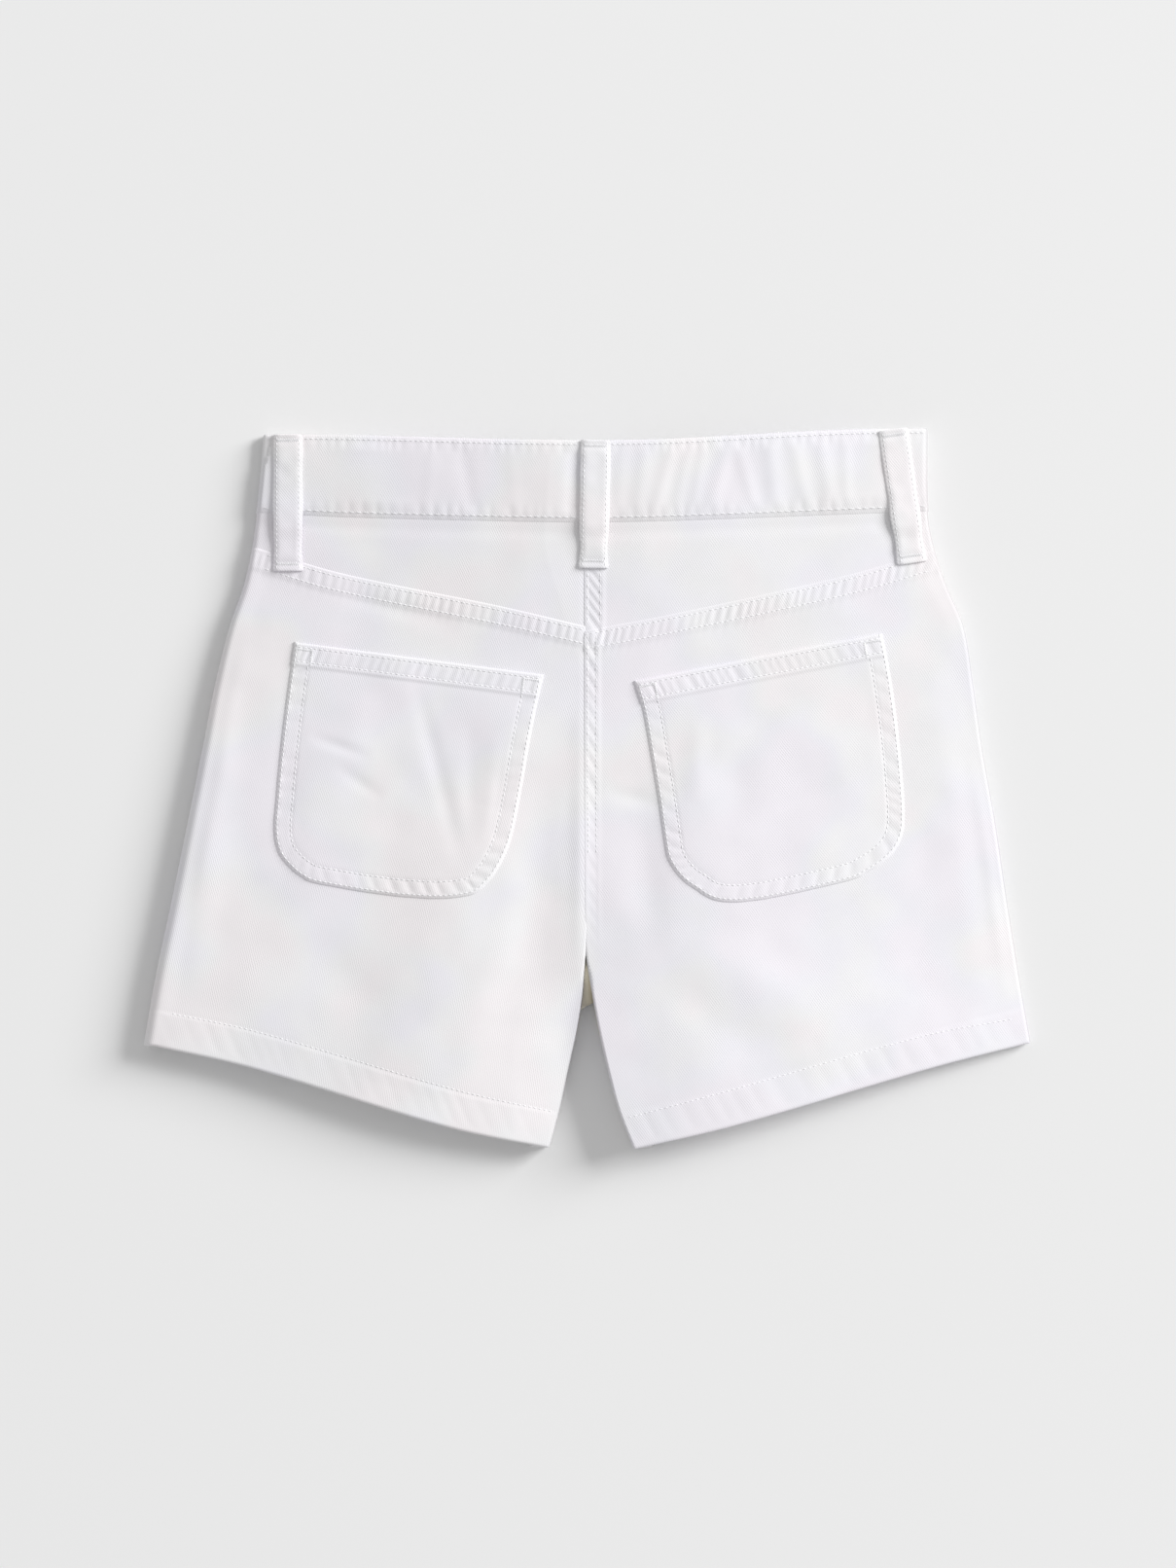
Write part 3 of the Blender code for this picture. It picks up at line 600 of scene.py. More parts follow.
def back_panel(side, look):
    from_seam = spaced((0.0, FELL, 0.62), (FELL, 14.0, 0.8), (14.0, 200.0, 1.45), (200.0, 210.0, 1.0))
    lines = [between(side, "yoke_seam", "fell_foot", d / FELL_FULL, -0.4) for d in from_seam[from_seam < FELL]]
    shares = (from_seam[from_seam >= FELL] - FELL) / PANEL_BELOW_FELL
    lines += [between(side, "fell_foot", "hem_stitch", s, -0.3 * (1.0 - s)) for s in shares]
    shares = spaced((0.0, HEM_DEPTH, 0.75)) / HEM_DEPTH
    lines += [between(side, "hem_stitch", "hem_edge", s, 0.9 * s) for s in shares]
    points, u, reach, flat = back_grid(side, lines, 1.35)
    x, y, up = points[..., 0], points[..., 1], facing_up(points)
    depth, from_hem = line_y(side, "yoke_seam", u) - y, y - line_y(side, "hem_edge", u)
    in_hem = ease(1.5, 5.0, from_hem) * fade(14.0, 16.8, from_hem)
    hem = 0.15 * fade(15.0, 16.8, from_hem) - 0.06 * bell(from_hem - 16.2, 0.9)
    hem = hem + 0.1 * puckers(x + 0.5 * from_hem, 9.5, 21 + side) * in_hem
    relief = up * stitched_band(depth, x, 11 + side) + up * hem
    outer = at_centre_seam(side, points, relief, reach)
    thick = mix(CLOTH, STRIP, fade(LOWER_ROW - 1.0, LOWER_ROW + 1.0, depth))
    thick = mix(thick, TURNED, fade(15.0, 17.0, from_hem))
    weave = woven(flat, y, *((-72.0, -95.0, -0.035) if side == LEFT else (-56.0, 95.0, 0.012)), -10.0)
    return shell(f"back_panel_{WORD[side]}", outer, thick, look, weave)


def back_yoke(side, look):
    shares = [(0.0, 1.6), (0.0, 0.9), (0.0, 0.2), *((s, -0.5) for s in np.linspace(0.0, 1.0, 42)[:-1])]
    shares += [(1.0, -0.9), (1.0, -1.8), (1.0, -2.6)]
    lines = [between(side, "band_foot", "yoke_seam", share, shift) for share, shift in shares]
    points, u, reach, flat = back_grid(side, lines, 1.3)
    y = points[..., 1]
    below_band = line_y(side, "band_foot", u) - y
    relief = facing_up(points) * (-0.2 * bell(below_band - 4.0, 3.0))
    outer = at_centre_seam(side, points, relief, reach)
    weave = woven(flat, y, -64.3 if side == LEFT else -56.9)
    return shell(f"back_yoke_{WORD[side]}", outer, CLOTH, look, weave)


def front_y(name, x):
    """y of a line of the waistband on the front, which dips under the back."""
    left, right = (line_y(side, name, 0.0) for side in (LEFT, RIGHT))
    left_x, right_x = side_x(LEFT, left), side_x(RIGHT, right)
    share = (x - left_x) / (right_x - left_x)
    dip = mix(left, right, 0.5) - LINES[LEFT][name].centre + FRONT_DIP
    return mix(left, right, share) - dip * np.sin(math.pi * np.clip(share, 0.0, 1.0)) ** 2


Ripple = namedtuple("Ripple", "x lean width height")
BAND_RIPPLES = [
    Ripple(15.0, -1.0, 3.0, 0.13),
    Ripple(24.5, -2.5, 3.4, 0.20),
    Ripple(34.5, -5.0, 3.4, 0.28),
    Ripple(43.0, -4.0, 2.8, 0.16),
    Ripple(50.5, -3.0, 2.6, 0.14),
    Ripple(60.0, -5.0, 3.8, 0.27),
    Ripple(72.5, 5.0, 3.2, 0.22),
    Ripple(84.5, 2.0, 4.0, 0.32),
    Ripple(97.0, 4.0, 3.4, 0.22),
    Ripple(108.5, 3.0, 3.6, 0.27),
    Ripple(118.0, 0.5, 2.8, 0.18),
    Ripple(136.0, -3.0, 14.0, 0.45),
    Ripple(-6.0, -1.0, 3.6, -0.40),
    Ripple(-34.0, 1.5, 4.0, 0.12),
    Ripple(-55.0, 3.0, 3.6, -0.18),
    Ripple(-72.0, -2.0, 3.2, 0.10),
    Ripple(-98.0, 2.0, 18.0, 0.45),
]


def band_inset(share):
    """How far the waistband's grid is kept from its edges, at a share of the way up, as room for its rims."""
    return 1.0 - 2.0 * share


def front_band(share, x, lift=0.0):
    """Points of the waistband on the front, at a share of the way up."""
    y = mix(front_y("band_foot", x), front_y("waist_edge", x), share) + band_inset(share)
    return stacked(x, y, underside(x, y) + lift)


def waistband(look):
    """One folded strip all round, from its outer end on the front to the inner end that laps inside it."""
    shares = spaced((0.0, 1.0, 0.021))
    rows, flats = [], []
    for share in shares:
        parts = [front_band(share, np.linspace(LAP_OUTER_END, -BAND_FRONT_END, 70))]
        for side, way in ((LEFT, 1), (RIGHT, -1)):
            path = section(side, between(side, "band_foot", "waist_edge", share, band_inset(share)))[1:, :3]
            short_of_middle = side * (path[:, 0] - inner_x(side, BAND_MIDDLE_Y)) > 1.5
            parts.append(path[short_of_middle][::way])
        parts.append(front_band(share, np.linspace(BAND_FRONT_END, LAP_RAMP_START, 40)))
        x = np.linspace(LAP_RAMP_START, LAP_INNER_END, 28)[1:]
        parts.append(front_band(share, x, (BAND_CLOTH + 0.6) * ease(LAP_RAMP_START, LAP_RAMP_END, x)))
        path = np.concatenate(parts)
        walked = walked_along(path)
        start, end = walked[len(parts[0])], walked[sum(map(len, parts[:3])) - 1]
        targets = counted((0.0, start, 70), (start, end, 330), (end, walked[-1], 78))
        rows.append(places_on(path, targets, walked))
        flats.append(targets - 0.5 * (start + end))
    points, flat = np.array(rows), np.array(flats)
    x, y, z = np.moveaxis(points, -1, 0)
    on_back, level = z > 4.5, facing_up(points)
    share = np.broadcast_to(shares[:, None], x.shape)
    from_top, from_foot = (1.0 - share) * BAND_DEPTH, share * BAND_DEPTH
    relief = np.zeros_like(x)
    for ripple in BAND_RIPPLES:
        where = x - ripple.x + ripple.lean * (share - 0.5) * 2.0
        relief += ripple.height * bell(where, ripple.width)
    relief *= ease(1.5, 7.0, from_top) * ease(2.0, 8.0, from_foot)
    relief -= 0.74 * fade(0.0, 3.0, from_foot) + 0.2 * fade(0.0, 1.4, from_top)
    relief += 0.18 * puckers(x, 5.2, 41) * bell(from_top - 2.6, 3.0)
    relief += 0.2 * puckers(x, 6.4, 44) * bell(from_foot - 4.0, 3.4)
    grooves = -0.1 * bell(from_top - 2.1, 0.7) - 0.1 * bell(from_foot - BAND_ROWS[1], 0.8)
    height = level * np.where(on_back, BAND_LIFT + relief + grooves, 0.5 * grooves)
    outer = lifted(points, 1, height + 0.6 * BAND_LIFT * (1.0 - level) * (z > 3.0))
    weave = np.where((x > 0)[..., None], woven(flat, y, -62.0), woven(flat, y, -57.8))
    return shell("waistband", outer, BAND_CLOTH, look, weave)


def pocket_seam(side):
    """The sewn edge of a pocket as across and depth, from its outer top corner round to the inner one."""
    spans = POCKET_SPANS[side]
    depths = spaced((0.0, 84.0, 1.0), (84.0, 104.0, 0.6), (104.0, spans[-1].depth, 0.2))
    outer, inner = (read_off(spans, end, depths) for end in ("outer", "inner"))
    seam = np.concatenate([stacked(outer, depths), stacked(inner, depths)[::-1]])
    return resampled(seam, np.linspace(0.0, 1.0, 640))


def inside_line(outline, inset):
    """A closely spaced open outline moved to its right by inset."""
    direction = np.gradient(outline, axis=0)
    direction /= np.linalg.norm(direction, axis=1, keepdims=True)
    return outline + inset * stacked(direction[:, 1], -direction[:, 0])


def patch_grid(seam, down, over):
    """A grid of points inside a seam that is open at the top, at shares down its sides and over its foot."""
    run = np.abs(np.gradient(seam, axis=0))
    foot = np.flatnonzero(run[:, 0] > run[:, 1])
    first, last = foot[0], foot[-1]
    left, right = resampled(seam[: first + 1], down), resampled(seam[last:][::-1], down)
    foot, top = resampled(seam[first : last + 1], over), mix(seam[0], seam[-1], over[:, None])
    s, t = down[:, None, None], over[None, :, None]
    corners = mix(mix(seam[0], seam[-1], t), mix(foot[0], foot[-1], t), s)
    return mix(left[:, None], right[:, None], t) + mix(top[None], foot[None], s) - corners


def nearest_on(outline, across, depth):
    """Distance to a closely spaced outline, and how far along it the nearest point is."""
    flat = stacked(across.ravel(), depth.ravel())
    gap = np.linalg.norm(flat[:, None, :] - outline[None, :, :], axis=2)
    return gap.min(1).reshape(across.shape), walked_along(outline)[gap.argmin(1)].reshape(across.shape)


def pocket_place(side, across, depth):
    place = POCKETS[side]
    x = place.corner_x - side * (across * math.cos(place.tilt) - depth * math.sin(place.tilt))
    y = place.corner_y - across * math.sin(place.tilt) - depth * math.cos(place.tilt)
    return x, y


# Folds of each pocket, in its own across and depth
POCKET_CREASES = {
    LEFT: [
        Fold(12.0, 42.0, 42.0, 48.0, 2.6, -0.4),
        Fold(26.0, 54.0, 50.0, 66.0, 3.0, -0.3),
        Fold(56.0, 8.0, 90.0, 94.0, 4.0, -0.42),
        Fold(84.0, 24.0, 92.0, 84.0, 4.0, -0.25),
        Fold(96.0, 28.0, 100.0, 84.0, 4.0, 0.25),
        Fold(30.0, 20.0, 36.0, 60.0, 7.0, 0.2),
    ],
    RIGHT: [
        Fold(70.0, 34.0, 84.0, 78.0, 9.0, -0.35),
        Fold(50.0, 24.0, 96.0, 60.0, 7.0, -0.25),
        Fold(30.0, 62.0, 62.0, 70.0, 3.5, -0.2),
        Fold(88.0, 16.0, 98.0, 60.0, 5.0, 0.3),
    ],
}


def back_pocket(side, look):
    """A patch on the panel, with two rows of stitches round it and a turned top edge."""
    seam = pocket_seam(side)
    down = spaced((0.0, 12.0, 0.6), (12.0, 94.0, 1.2), (94.0, 104.0, 0.6)) / 104.0
    over = spaced((0.0, 12.0, 0.6), (12.0, 103.0, 1.2), (103.0, 115.0, 0.6)) / 115.0
    grid = patch_grid(inside_line(seam, CLOTH / 2), down, over)
    across, depth = grid[..., 0], grid[..., 1] + CLOTH / 2 * (1.0 - down[:, None])
    x, y = pocket_place(side, across, depth)
    edge, along = nearest_on(seam, across, depth)
    body = ease(10.0, 14.0, depth)
    band = ease(1.6, 3.2, edge) * fade(6.2, 9.6, edge) * body
    in_hem = ease(1.8, 3.4, depth) * fade(7.6, 9.6, depth) * ease(2.0, 6.0, edge)
    relief = -0.1 * bell(edge - POCKET_ROWS[0], 0.7) - 0.1 * body * bell(edge - POCKET_ROWS[1], 0.8)
    relief += 0.3 * band * puckers(along + 0.45 * edge, 8.2, 51 + side)
    relief += 0.06 * ease(8.0, 26.0, edge) * body + 0.4 * fade(9.8, 11.6, depth)
    relief -= 0.6 * fade(0.0, 1.8, np.minimum(edge, depth + 0.3))
    relief += 0.3 * in_hem * puckers(across + 0.3 * depth, 4.6, 61 + side)
    relief -= 0.13 * bell(depth - POCKET_HEM_ROWS[0], 0.6) + 0.13 * bell(depth - POCKET_HEM_ROWS[1], 0.6)
    relief += folds_height(POCKET_CREASES[side], across, depth) * ease(8.0, 14.0, edge)
    relief += 0.16 * noise(x, y, 17.0, 71) * ease(6.0, 14.0, edge)
    outer = lifted(stacked(x, y, surface(side, x, y) + POCKET_LIFT), 1, relief)
    weave = woven(x, y, -70.6 if side == LEFT else -50.9)
    return shell(f"back_pocket_{WORD[side]}", outer, CLOTH, look, weave)


# ---- Front

# Where the cloth of the front stands clear of the floor in soft troughs
FRONT_FOLDS = [
    Fold(-40.0, 84.0, -98.0, 66.0, 6.0, 0.5),
    Fold(-18.0, 40.0, -74.0, -18.0, 9.0, 0.55),
    Fold(-14.0, -70.0, -88.0, -36.0, 6.0, 0.6),
    Fold(-20.0, -92.0, -70.0, -84.0, 5.0, 0.45),
    Fold(-128.0, 40.0, -150.0, -90.0, 12.0, 0.5),
    Fold(-84.0, -60.0, -100.0, -128.0, 9.0, 0.4),
    Fold(34.0, 88.0, 112.0, 74.0, 7.0, 0.45),
    Fold(22.0, 30.0, 88.0, -4.0, 8.0, 0.6),
    Fold(16.0, -76.0, 96.0, -48.0, 7.0, 0.65),
    Fold(24.0, -96.0, 62.0, -90.0, 4.0, 0.4),
    Fold(120.0, 30.0, 150.0, -84.0, 11.0, 0.45),
    Fold(70.0, -70.0, 78.0, -134.0, 8.0, 0.45),
]
FRONT_HEM_ROWS = 14  # of the grid, across the turned hem
FRONT_FOOT_GAP = 0.9  # between the waistband and the front panels
NOTCH_SEAM_UP, NOTCH_SEAM_HEIGHT = 17.5, 10.2  # middle of the raised seam, from the crotch, and its height
FLY_WIDTH, FLY_BOTTOM, FLY_BEND = 31.0, 12.0, 36.0  # the curved row of stitches beside the front seam
BAR_DOWN, BAR_UP = 3.0, 3.6  # from the ends of a belt loop to the bars that hold them
LOOP_ROW = 5.2  # from the middle of a belt loop to each row of its stitches
LOOP_INSET = 0.75  # from the edges of a belt loop to those of its grid, as room for its rounded rim


def front_height(x, y):
    """The outer face of the front, with its folds and the raised seam that fills the notch between the legs."""
    raised = np.maximum(folds_height(FRONT_FOLDS, x, y), 0.0) + 0.12 * (1.0 + noise(x, y, 27.0, 91))
    seam_x, seam_y = front_seam_x(FRONT_CROTCH_Y) - FRONT_SEAM_SHIFT, FRONT_CROTCH_Y + NOTCH_SEAM_UP
    crotch = NOTCH_SEAM_HEIGHT * bell(x - seam_x, 3.6) * bell(y - seam_y, 11.5)
    return underside(x, y) + ease(0.0, 8.0, np.abs(x - FRONT_CENTRE)) * raised + crotch


def front_lines(side):
    lines = [between(side, "band_foot", "yoke_seam", s, -0.6) for s in np.linspace(0.0, 1.0, 24)[:-1]]
    lines += [between(side, "yoke_seam", "hem_stitch", s) for s in np.linspace(0.0, 1.0, 124)[:-1]]
    return lines + [between(side, "hem_stitch", "hem_edge", s, 0.9 * s) for s in np.linspace(0.0, 1.0, FRONT_HEM_ROWS)]


def front_seam_x(y):
    """The front centre seam, which runs from the middle of the waist to the crotch of the back."""
    crotch = (inner_x(LEFT, CROTCH_Y) + inner_x(RIGHT, CROTCH_Y)) / 2 + FRONT_SEAM_SHIFT
    return mix(crotch, FRONT_CENTRE, ease(-90.0, 60.0, y))


def front_row(side, line, u):
    """x and y on the front along the line that meets a line of the back at the side seam."""
    lap = UNDERLAP + SEAM_GAP
    back_top, back_foot, y_back = line_y(side, "band_foot", 1.0), line_y(side, "hem_edge", 1.0), line(1.0)
    front_top = front_y("band_foot", FRONT_CENTRE + side * SEAM_GAP / 2) - FRONT_FOOT_GAP
    drop = mix(front_top, back_foot + FRONT_HEM_RISE, (back_top - y_back) / (back_top - back_foot)) - y_back
    y_inner = y_back + drop
    seam = front_seam_x(y_inner) + side * SEAM_GAP / 2
    inner = inner_x(side, y_inner) + side * (SEAM_GAP + lap * turned_under(y_inner))
    inner = mix(inner, seam, ease(FRONT_CROTCH_Y - 0.8, FRONT_CROTCH_Y + 4.2, y_inner))
    x = mix(side_x(side, line(0.0)) - side * lap, inner, u)
    return x, np.minimum(line(u) + drop * ease(0.0, 1.0, u), front_y("band_foot", x) - FRONT_FOOT_GAP)


def front_panel(side, look):
    """Flat on the floor. Its side seam and inseam lie under the folds of the back."""
    lines = front_lines(side)
    x, y = np.stack([front_row(side, line, np.linspace(0.0, 1.0, 120)) for line in lines], axis=1)
    into_hem = np.arange(len(lines))[:, None] - (len(lines) - FRONT_HEM_ROWS)
    hem = ease(-2, 2, into_hem)
    z = front_height(x, y) + 0.25 * (1.0 + puckers(x + 0.4 * y, 9.0, 93 + side)) * hem
    z = z + 0.22 * bell(x - FRONT_CENTRE - side * 2.0, 1.6) * ease(FRONT_CROTCH_Y, -80.0, y)
    thick = np.where(into_hem >= 0, TURNED, CLOTH) + 0.0 * x
    weave = woven(x, y, -110.0 if side == LEFT else -122.0)
    made = shell(f"front_panel_{WORD[side]}", stacked(x, y, z), thick, look, weave, -1)
    spots = np.array([vertex.co[:] for vertex in made.data.vertices]) / MM
    natural = bell(spots[:, 0] - front_seam_x(spots[:, 1]), 9.0) * ease(-60.0, -76.0, spots[:, 1])
    natural[: x.size] = 0.0  # the outer face, which comes first
    give(made.data, "natural", natural)
    return made


def strap_length(loop):
    return math.hypot(loop.bottom_x - loop.top_x, loop.top_y - loop.bottom_y)


def strap_place(loop, aside, down):
    """x and y of a place on a belt loop, by its distances from the middle line and from the top."""
    angle, share = math.atan2(loop.bottom_x - loop.top_x, loop.top_y - loop.bottom_y), down / strap_length(loop)
    x = mix(loop.top_x, loop.bottom_x, share) + aside * math.cos(angle)
    y = mix(loop.top_y, loop.bottom_y, share) + aside * math.sin(angle)
    return x, y


def strap(name, loop, heights, look, facing=1):
    """A belt loop: a folded strap with a row of stitches near each edge, between its two sewn ends."""
    length = strap_length(loop)
    down = spaced((LOOP_INSET, length - LOOP_INSET, 0.7))[:, None]
    share = down / length
    half = LOOP_WIDTH / 2 - LOOP_INSET + 0.3 * bell(share - 1.0, 0.05) - 0.5 * bell(share - 0.84, 0.08)
    half = half + 0.22 * noise(down, share * 0, 8.0, len(name)) - 0.7 * ease(1.6, 0.0, length - down)
    aside = np.linspace(-1.0, 1.0, 27)[None, :] * half
    x, y = strap_place(loop, aside, down)
    from_edge = half - np.abs(aside)
    relief = -0.08 * bell(from_edge - 1.5, 0.7) + 0.12 * noise(x, y, 5.0, 81) - 0.45 * fade(0.0, 1.8, from_edge)
    relief -= 0.3 * (bell(down - BAR_DOWN, 1.8) + bell(length - down - BAR_UP, 1.8))
    outer = lifted(stacked(x, y, heights(x, y, share)), facing, relief)
    return shell(name, outer, STRAP_CLOTH, look, woven(x, y, -50.0), facing)


def back_loop(name, loop, look):
    side = LEFT if loop.top_x < 0 else RIGHT
    foot = line_y(side, "band_foot", 0.5)

    def heights(x, y, share):
        arch = 0.2 * np.sin(math.pi * np.clip(share, 0.0, 1.0)) ** 0.6
        return surface(side, x, y) + mix(0.3, BAND_LIFT, ease(foot - 9.0, foot - 2.0, y)) + 0.2 + STRAP_CLOTH + arch

    return strap(name, loop, heights, look)


def front_loop(name, loop, look):
    return strap(name, loop, lambda x, y, share: 0.1 + 0.0 * x, look, facing=-1)


def tube(rings, segments):
    """The faces of a tube, its ends closed, from rings of so many points each."""
    k = np.arange(segments)
    after = (k + 1) % segments
    faces = [k[::-1].tolist()]
    for low in segments * np.arange(rings - 1):
        faces += (low + stacked(k, after, segments + after, segments + k)).tolist()
    return [*faces, (k + (rings - 1) * segments).tolist()]


# ---- Button and zip

# The button from its underside, which faces the floor: a hollow middle inside a rolled rim
BUTTON_PROFILE = [
    (1.6, 0.30),
    (2.6, 0.34),
    (3.1, 0.52),
    (5.4, 0.62),
    (6.0, 0.42),
    (6.5, 0.12),
    (7.1, 0.0),
    (7.8, 0.06),
    (8.3, 0.35),
    (8.5, 0.75),
    (8.3, 1.2),
    (7.8, 1.45),
    (6.0, 1.5),
]
BUTTON_SIDES = 64
ZIP_TOP, ZIP_BOTTOM, ZIP_HEIGHT = 107.0, 18.0, 3.0
TOOTH_PITCH = 1.6
Part = namedtuple("Part", "name down up size")  # down from the top of the zip, and up from its tapes
SLIDER_PARTS = [
    Part("slider", 5.0, 1.2, (7.6, 9.0, 2.8)),
    Part("pull", 14.0, 2.0, (5.0, 16.0, 0.9)),
    Part("bridge", 5.4, 2.9, (2.0, 6.4, 1.6)),
]


def front_button(look):
    low, high = (np.array(corner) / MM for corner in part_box("front_button"))
    middle = (low + high) / 2
    turn = 2 * math.pi * np.arange(BUTTON_SIDES) / BUTTON_SIDES
    rings = [stacked(r * np.cos(turn), r * np.sin(turn), np.full(BUTTON_SIDES, z)) for r, z in BUTTON_PROFILE]
    spots = np.concatenate(rings) + (middle[0], middle[1], low[2])
    made = made_mesh("front_button_metal", spots, tube(len(BUTTON_PROFILE), BUTTON_SIDES), look)
    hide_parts("front_button")


def lumps(name, places, size, look):
    """Small rounded blocks of one size, each at its place."""
    shape = bmesh.new()
    bmesh.ops.create_cube(shape, size=1.0)
    rounding = dict(offset=0.24, segments=2, profile=0.7, affect="EDGES", clamp_overlap=True)
    bmesh.ops.bevel(shape, geom=shape.edges[:], **rounding)
    corners = np.array([v.co[:] for v in shape.verts]) * np.array(size)
    sides = [[v.index for v in face.verts] for face in shape.faces]
    shape.free()
    vertices = np.concatenate([corners + np.array(place) for place in places])
    made = made_mesh(name, vertices, repeated(sides, len(corners), len(places)), look)
    return made


def repeated(faces, size, count):
    """The faces of several bodies, one after the other, from those of the first and its number of points."""
    return [[n * size + k for k in face] for n in range(count) for face in faces]


def fly_zip(tape_look, metal_look):
    """Inside the front seam: two woven tapes, their closed teeth, and a slider at the top."""
    tapes = []
    for side, word in WORD.items():
        x, y = np.meshgrid(FRONT_CENTRE + side * np.linspace(1.4, 12.0, 16), np.linspace(ZIP_TOP, ZIP_BOTTOM, 60))
        beside = np.abs(x - FRONT_CENTRE)
        z = underside(x, y) + ZIP_HEIGHT + 0.5 * bell(beside - 1.4, 0.8) + 0.08 * noise(x, y, 9.0, 95)
        points, weave = stacked(x, y, z), woven(x, y, 90.0)
        tapes.append(shell("fly_zip", points, 0.6, tape_look, weave, name=f"fly_zip_tape_{word}"))
    places = []
    for number in range(int((ZIP_TOP - ZIP_BOTTOM - 8.0) / TOOTH_PITCH) * 2):
        x, y = FRONT_CENTRE + (LEFT if number % 2 else RIGHT) * 0.8, ZIP_BOTTOM + 3.0 + number * TOOTH_PITCH / 2
        places.append((x, y, underside(FRONT_CENTRE, y) + ZIP_HEIGHT + 0.6))
    metal = [lumps("fly_zip_teeth", places, (3.0, 0.75, 1.3), metal_look)]
    lift = underside(FRONT_CENTRE, ZIP_TOP - 6.0) + ZIP_HEIGHT
    for part in SLIDER_PARTS:
        place = (FRONT_CENTRE, ZIP_TOP - part.down, lift + part.up)
        metal.append(lumps(f"fly_zip_{part.name}", [place], part.size, metal_look))
    return tapes, metal


# ---- Threads


def tree_of(piece):
    mesh = piece.data
    return BVHTree.FromPolygons([v.co.copy() for v in mesh.vertices], [tuple(p.vertices) for p in mesh.polygons])


def touched(trees, x, y, facing):
    """Where a line along z first meets one of the pieces, and the normal there, or None where it misses them."""
    origin, away = Vector((x * MM, y * MM, 0.05 * facing)), Vector((0.0, 0.0, -facing))
    found = [hit for hit in (tree.ray_cast(origin, away) for tree in trees) if hit[0] is not None]
    if not found:
        return None
    place, normal = max(found, key=lambda hit: hit[0].z * facing)[:2]
    return np.array(place) / MM, np.array(normal if normal.z * facing > 0 else -normal)


# Along a thread: the places of its rings, how far they stand out of the cloth, and their sizes
THREAD_SHARES = np.array([0.0, 0.14, 0.5, 0.86, 1.0])
THREAD_SINK = np.array([-0.26, -0.02, 0.06, -0.02, -0.26])
THREAD_SIZES = np.array([0.55, 1.0, 1.05, 1.0, 0.55])
THREAD_SIDES = 6


def stitches(name, trees, paths, pitch=STITCH, radius=THREAD, gap=0.5, facing=1, look=None):
    """Threads sunk in the cloth below each path, which is a list of (x, y) points."""
    turn = 2 * math.pi * np.arange(THREAD_SIDES) / THREAD_SIDES
    threads = []
    for path in paths:
        walked = walked_along(path)
        count = max(int(walked[-1] / pitch), 1)
        step = walked[-1] / count
        for i in range(count):
            marks = (i + 0.5) * step + (THREAD_SHARES - 0.5) * (step - gap)
            hits = [touched(trees, x, y, facing) for x, y in places_on(path, marks, walked)]
            if any(hit is None for hit in hits):
                continue
            centre, normal = (np.array(part) for part in zip(*hits))
            normal = normal.mean(0)
            normal /= np.linalg.norm(normal)
            centre = centre + normal * THREAD_SINK[:, None]
            along = centre[-1] - centre[0]
            beside = np.cross(normal, along / np.linalg.norm(along))
            around = np.cos(turn)[:, None] * beside + np.sin(turn)[:, None] * normal
            threads.append(centre[:, None] + around * (radius * THREAD_SIZES)[:, None, None])
    faces = repeated(tube(len(THREAD_SHARES), THREAD_SIDES), len(THREAD_SHARES) * THREAD_SIDES, len(threads))
    made = made_mesh(name, np.array(threads).reshape(-1, 3), faces, look)
    return made


def along_line(side, line, start=0.03, end=1.0):
    """Points of a line across the back, between two shares of it."""
    u = np.linspace(start, end, 120)
    outer = side_x(side, line(0.0)) - side * fold_width("side", side, line(0.0))
    return stacked(mix(outer, inner_x(side, line(1.0)), u), line(u))


def zigzag(start, end, height, count):
    """A bar of dense stitches as short paths, to and fro across the way from start to end."""
    start, end = np.array(start), np.array(end)
    along = (end - start) / count
    beside = np.array([-along[1], along[0]]) * height / 2 / np.linalg.norm(along)
    turns = [start + along * k + beside * (-1) ** k for k in range(count + 1)]
    return [np.stack(pair) for pair in zip(turns, turns[1:])]


# ---- Materials


def new_look(name):
    look = bpy.data.materials.new(name)
    look.use_nodes = True
    return look, look.node_tree, look.node_tree.nodes["Principled BSDF"]


def put(tree, node, inputs):
    """Sets or links a node's inputs."""
    for key, value in inputs.items():
        if isinstance(value, bpy.types.NodeSocket):
            tree.links.new(value, node.inputs[key])
        else:
            node.inputs[key].default_value = value


def add(tree, kind, inputs=(), output=0, **settings):
    """An output of a new node with its settings and inputs."""
    made = tree.nodes.new(kind)
    for key, value in settings.items():
        setattr(made, key, value)
    put(tree, made, dict(inputs))
    return made.outputs[output]


def maths(tree, operation, a, b=0.0, c=0.0):
    return add(tree, "ShaderNodeMath", {0: a, 1: b, 2: c}, operation=operation)


def scaled(tree, value, factor, plus=0.0):
    return maths(tree, "MULTIPLY_ADD", value, factor, plus)


def in_place(tree):
    return add(tree, "ShaderNodeTexCoord", output="Object")


def clouds(tree, where, scale, detail):
    return add(tree, "ShaderNodeTexNoise", {"Vector": where, "Scale": scale, "Detail": detail})


def ramp(tree, share, *stops):
    """Colours between stops, each a position and its red, green and blue."""
    colour = add(tree, "ShaderNodeValToRGB", {0: share})
    elements = colour.node.color_ramp.elements
    elements[0].position, elements[1].position = stops[0][0], stops[-1][0]
    for position, *_ in stops[1:-1]:
        elements.new(position)
    for element, (_, *shade) in zip(elements, stops):
        element.color = (*shade, 1.0)
    return colour


def bumps(tree, height, strength, distance):
    return add(tree, "ShaderNodeBump", {"Height": height, "Strength": strength, "Distance": distance})


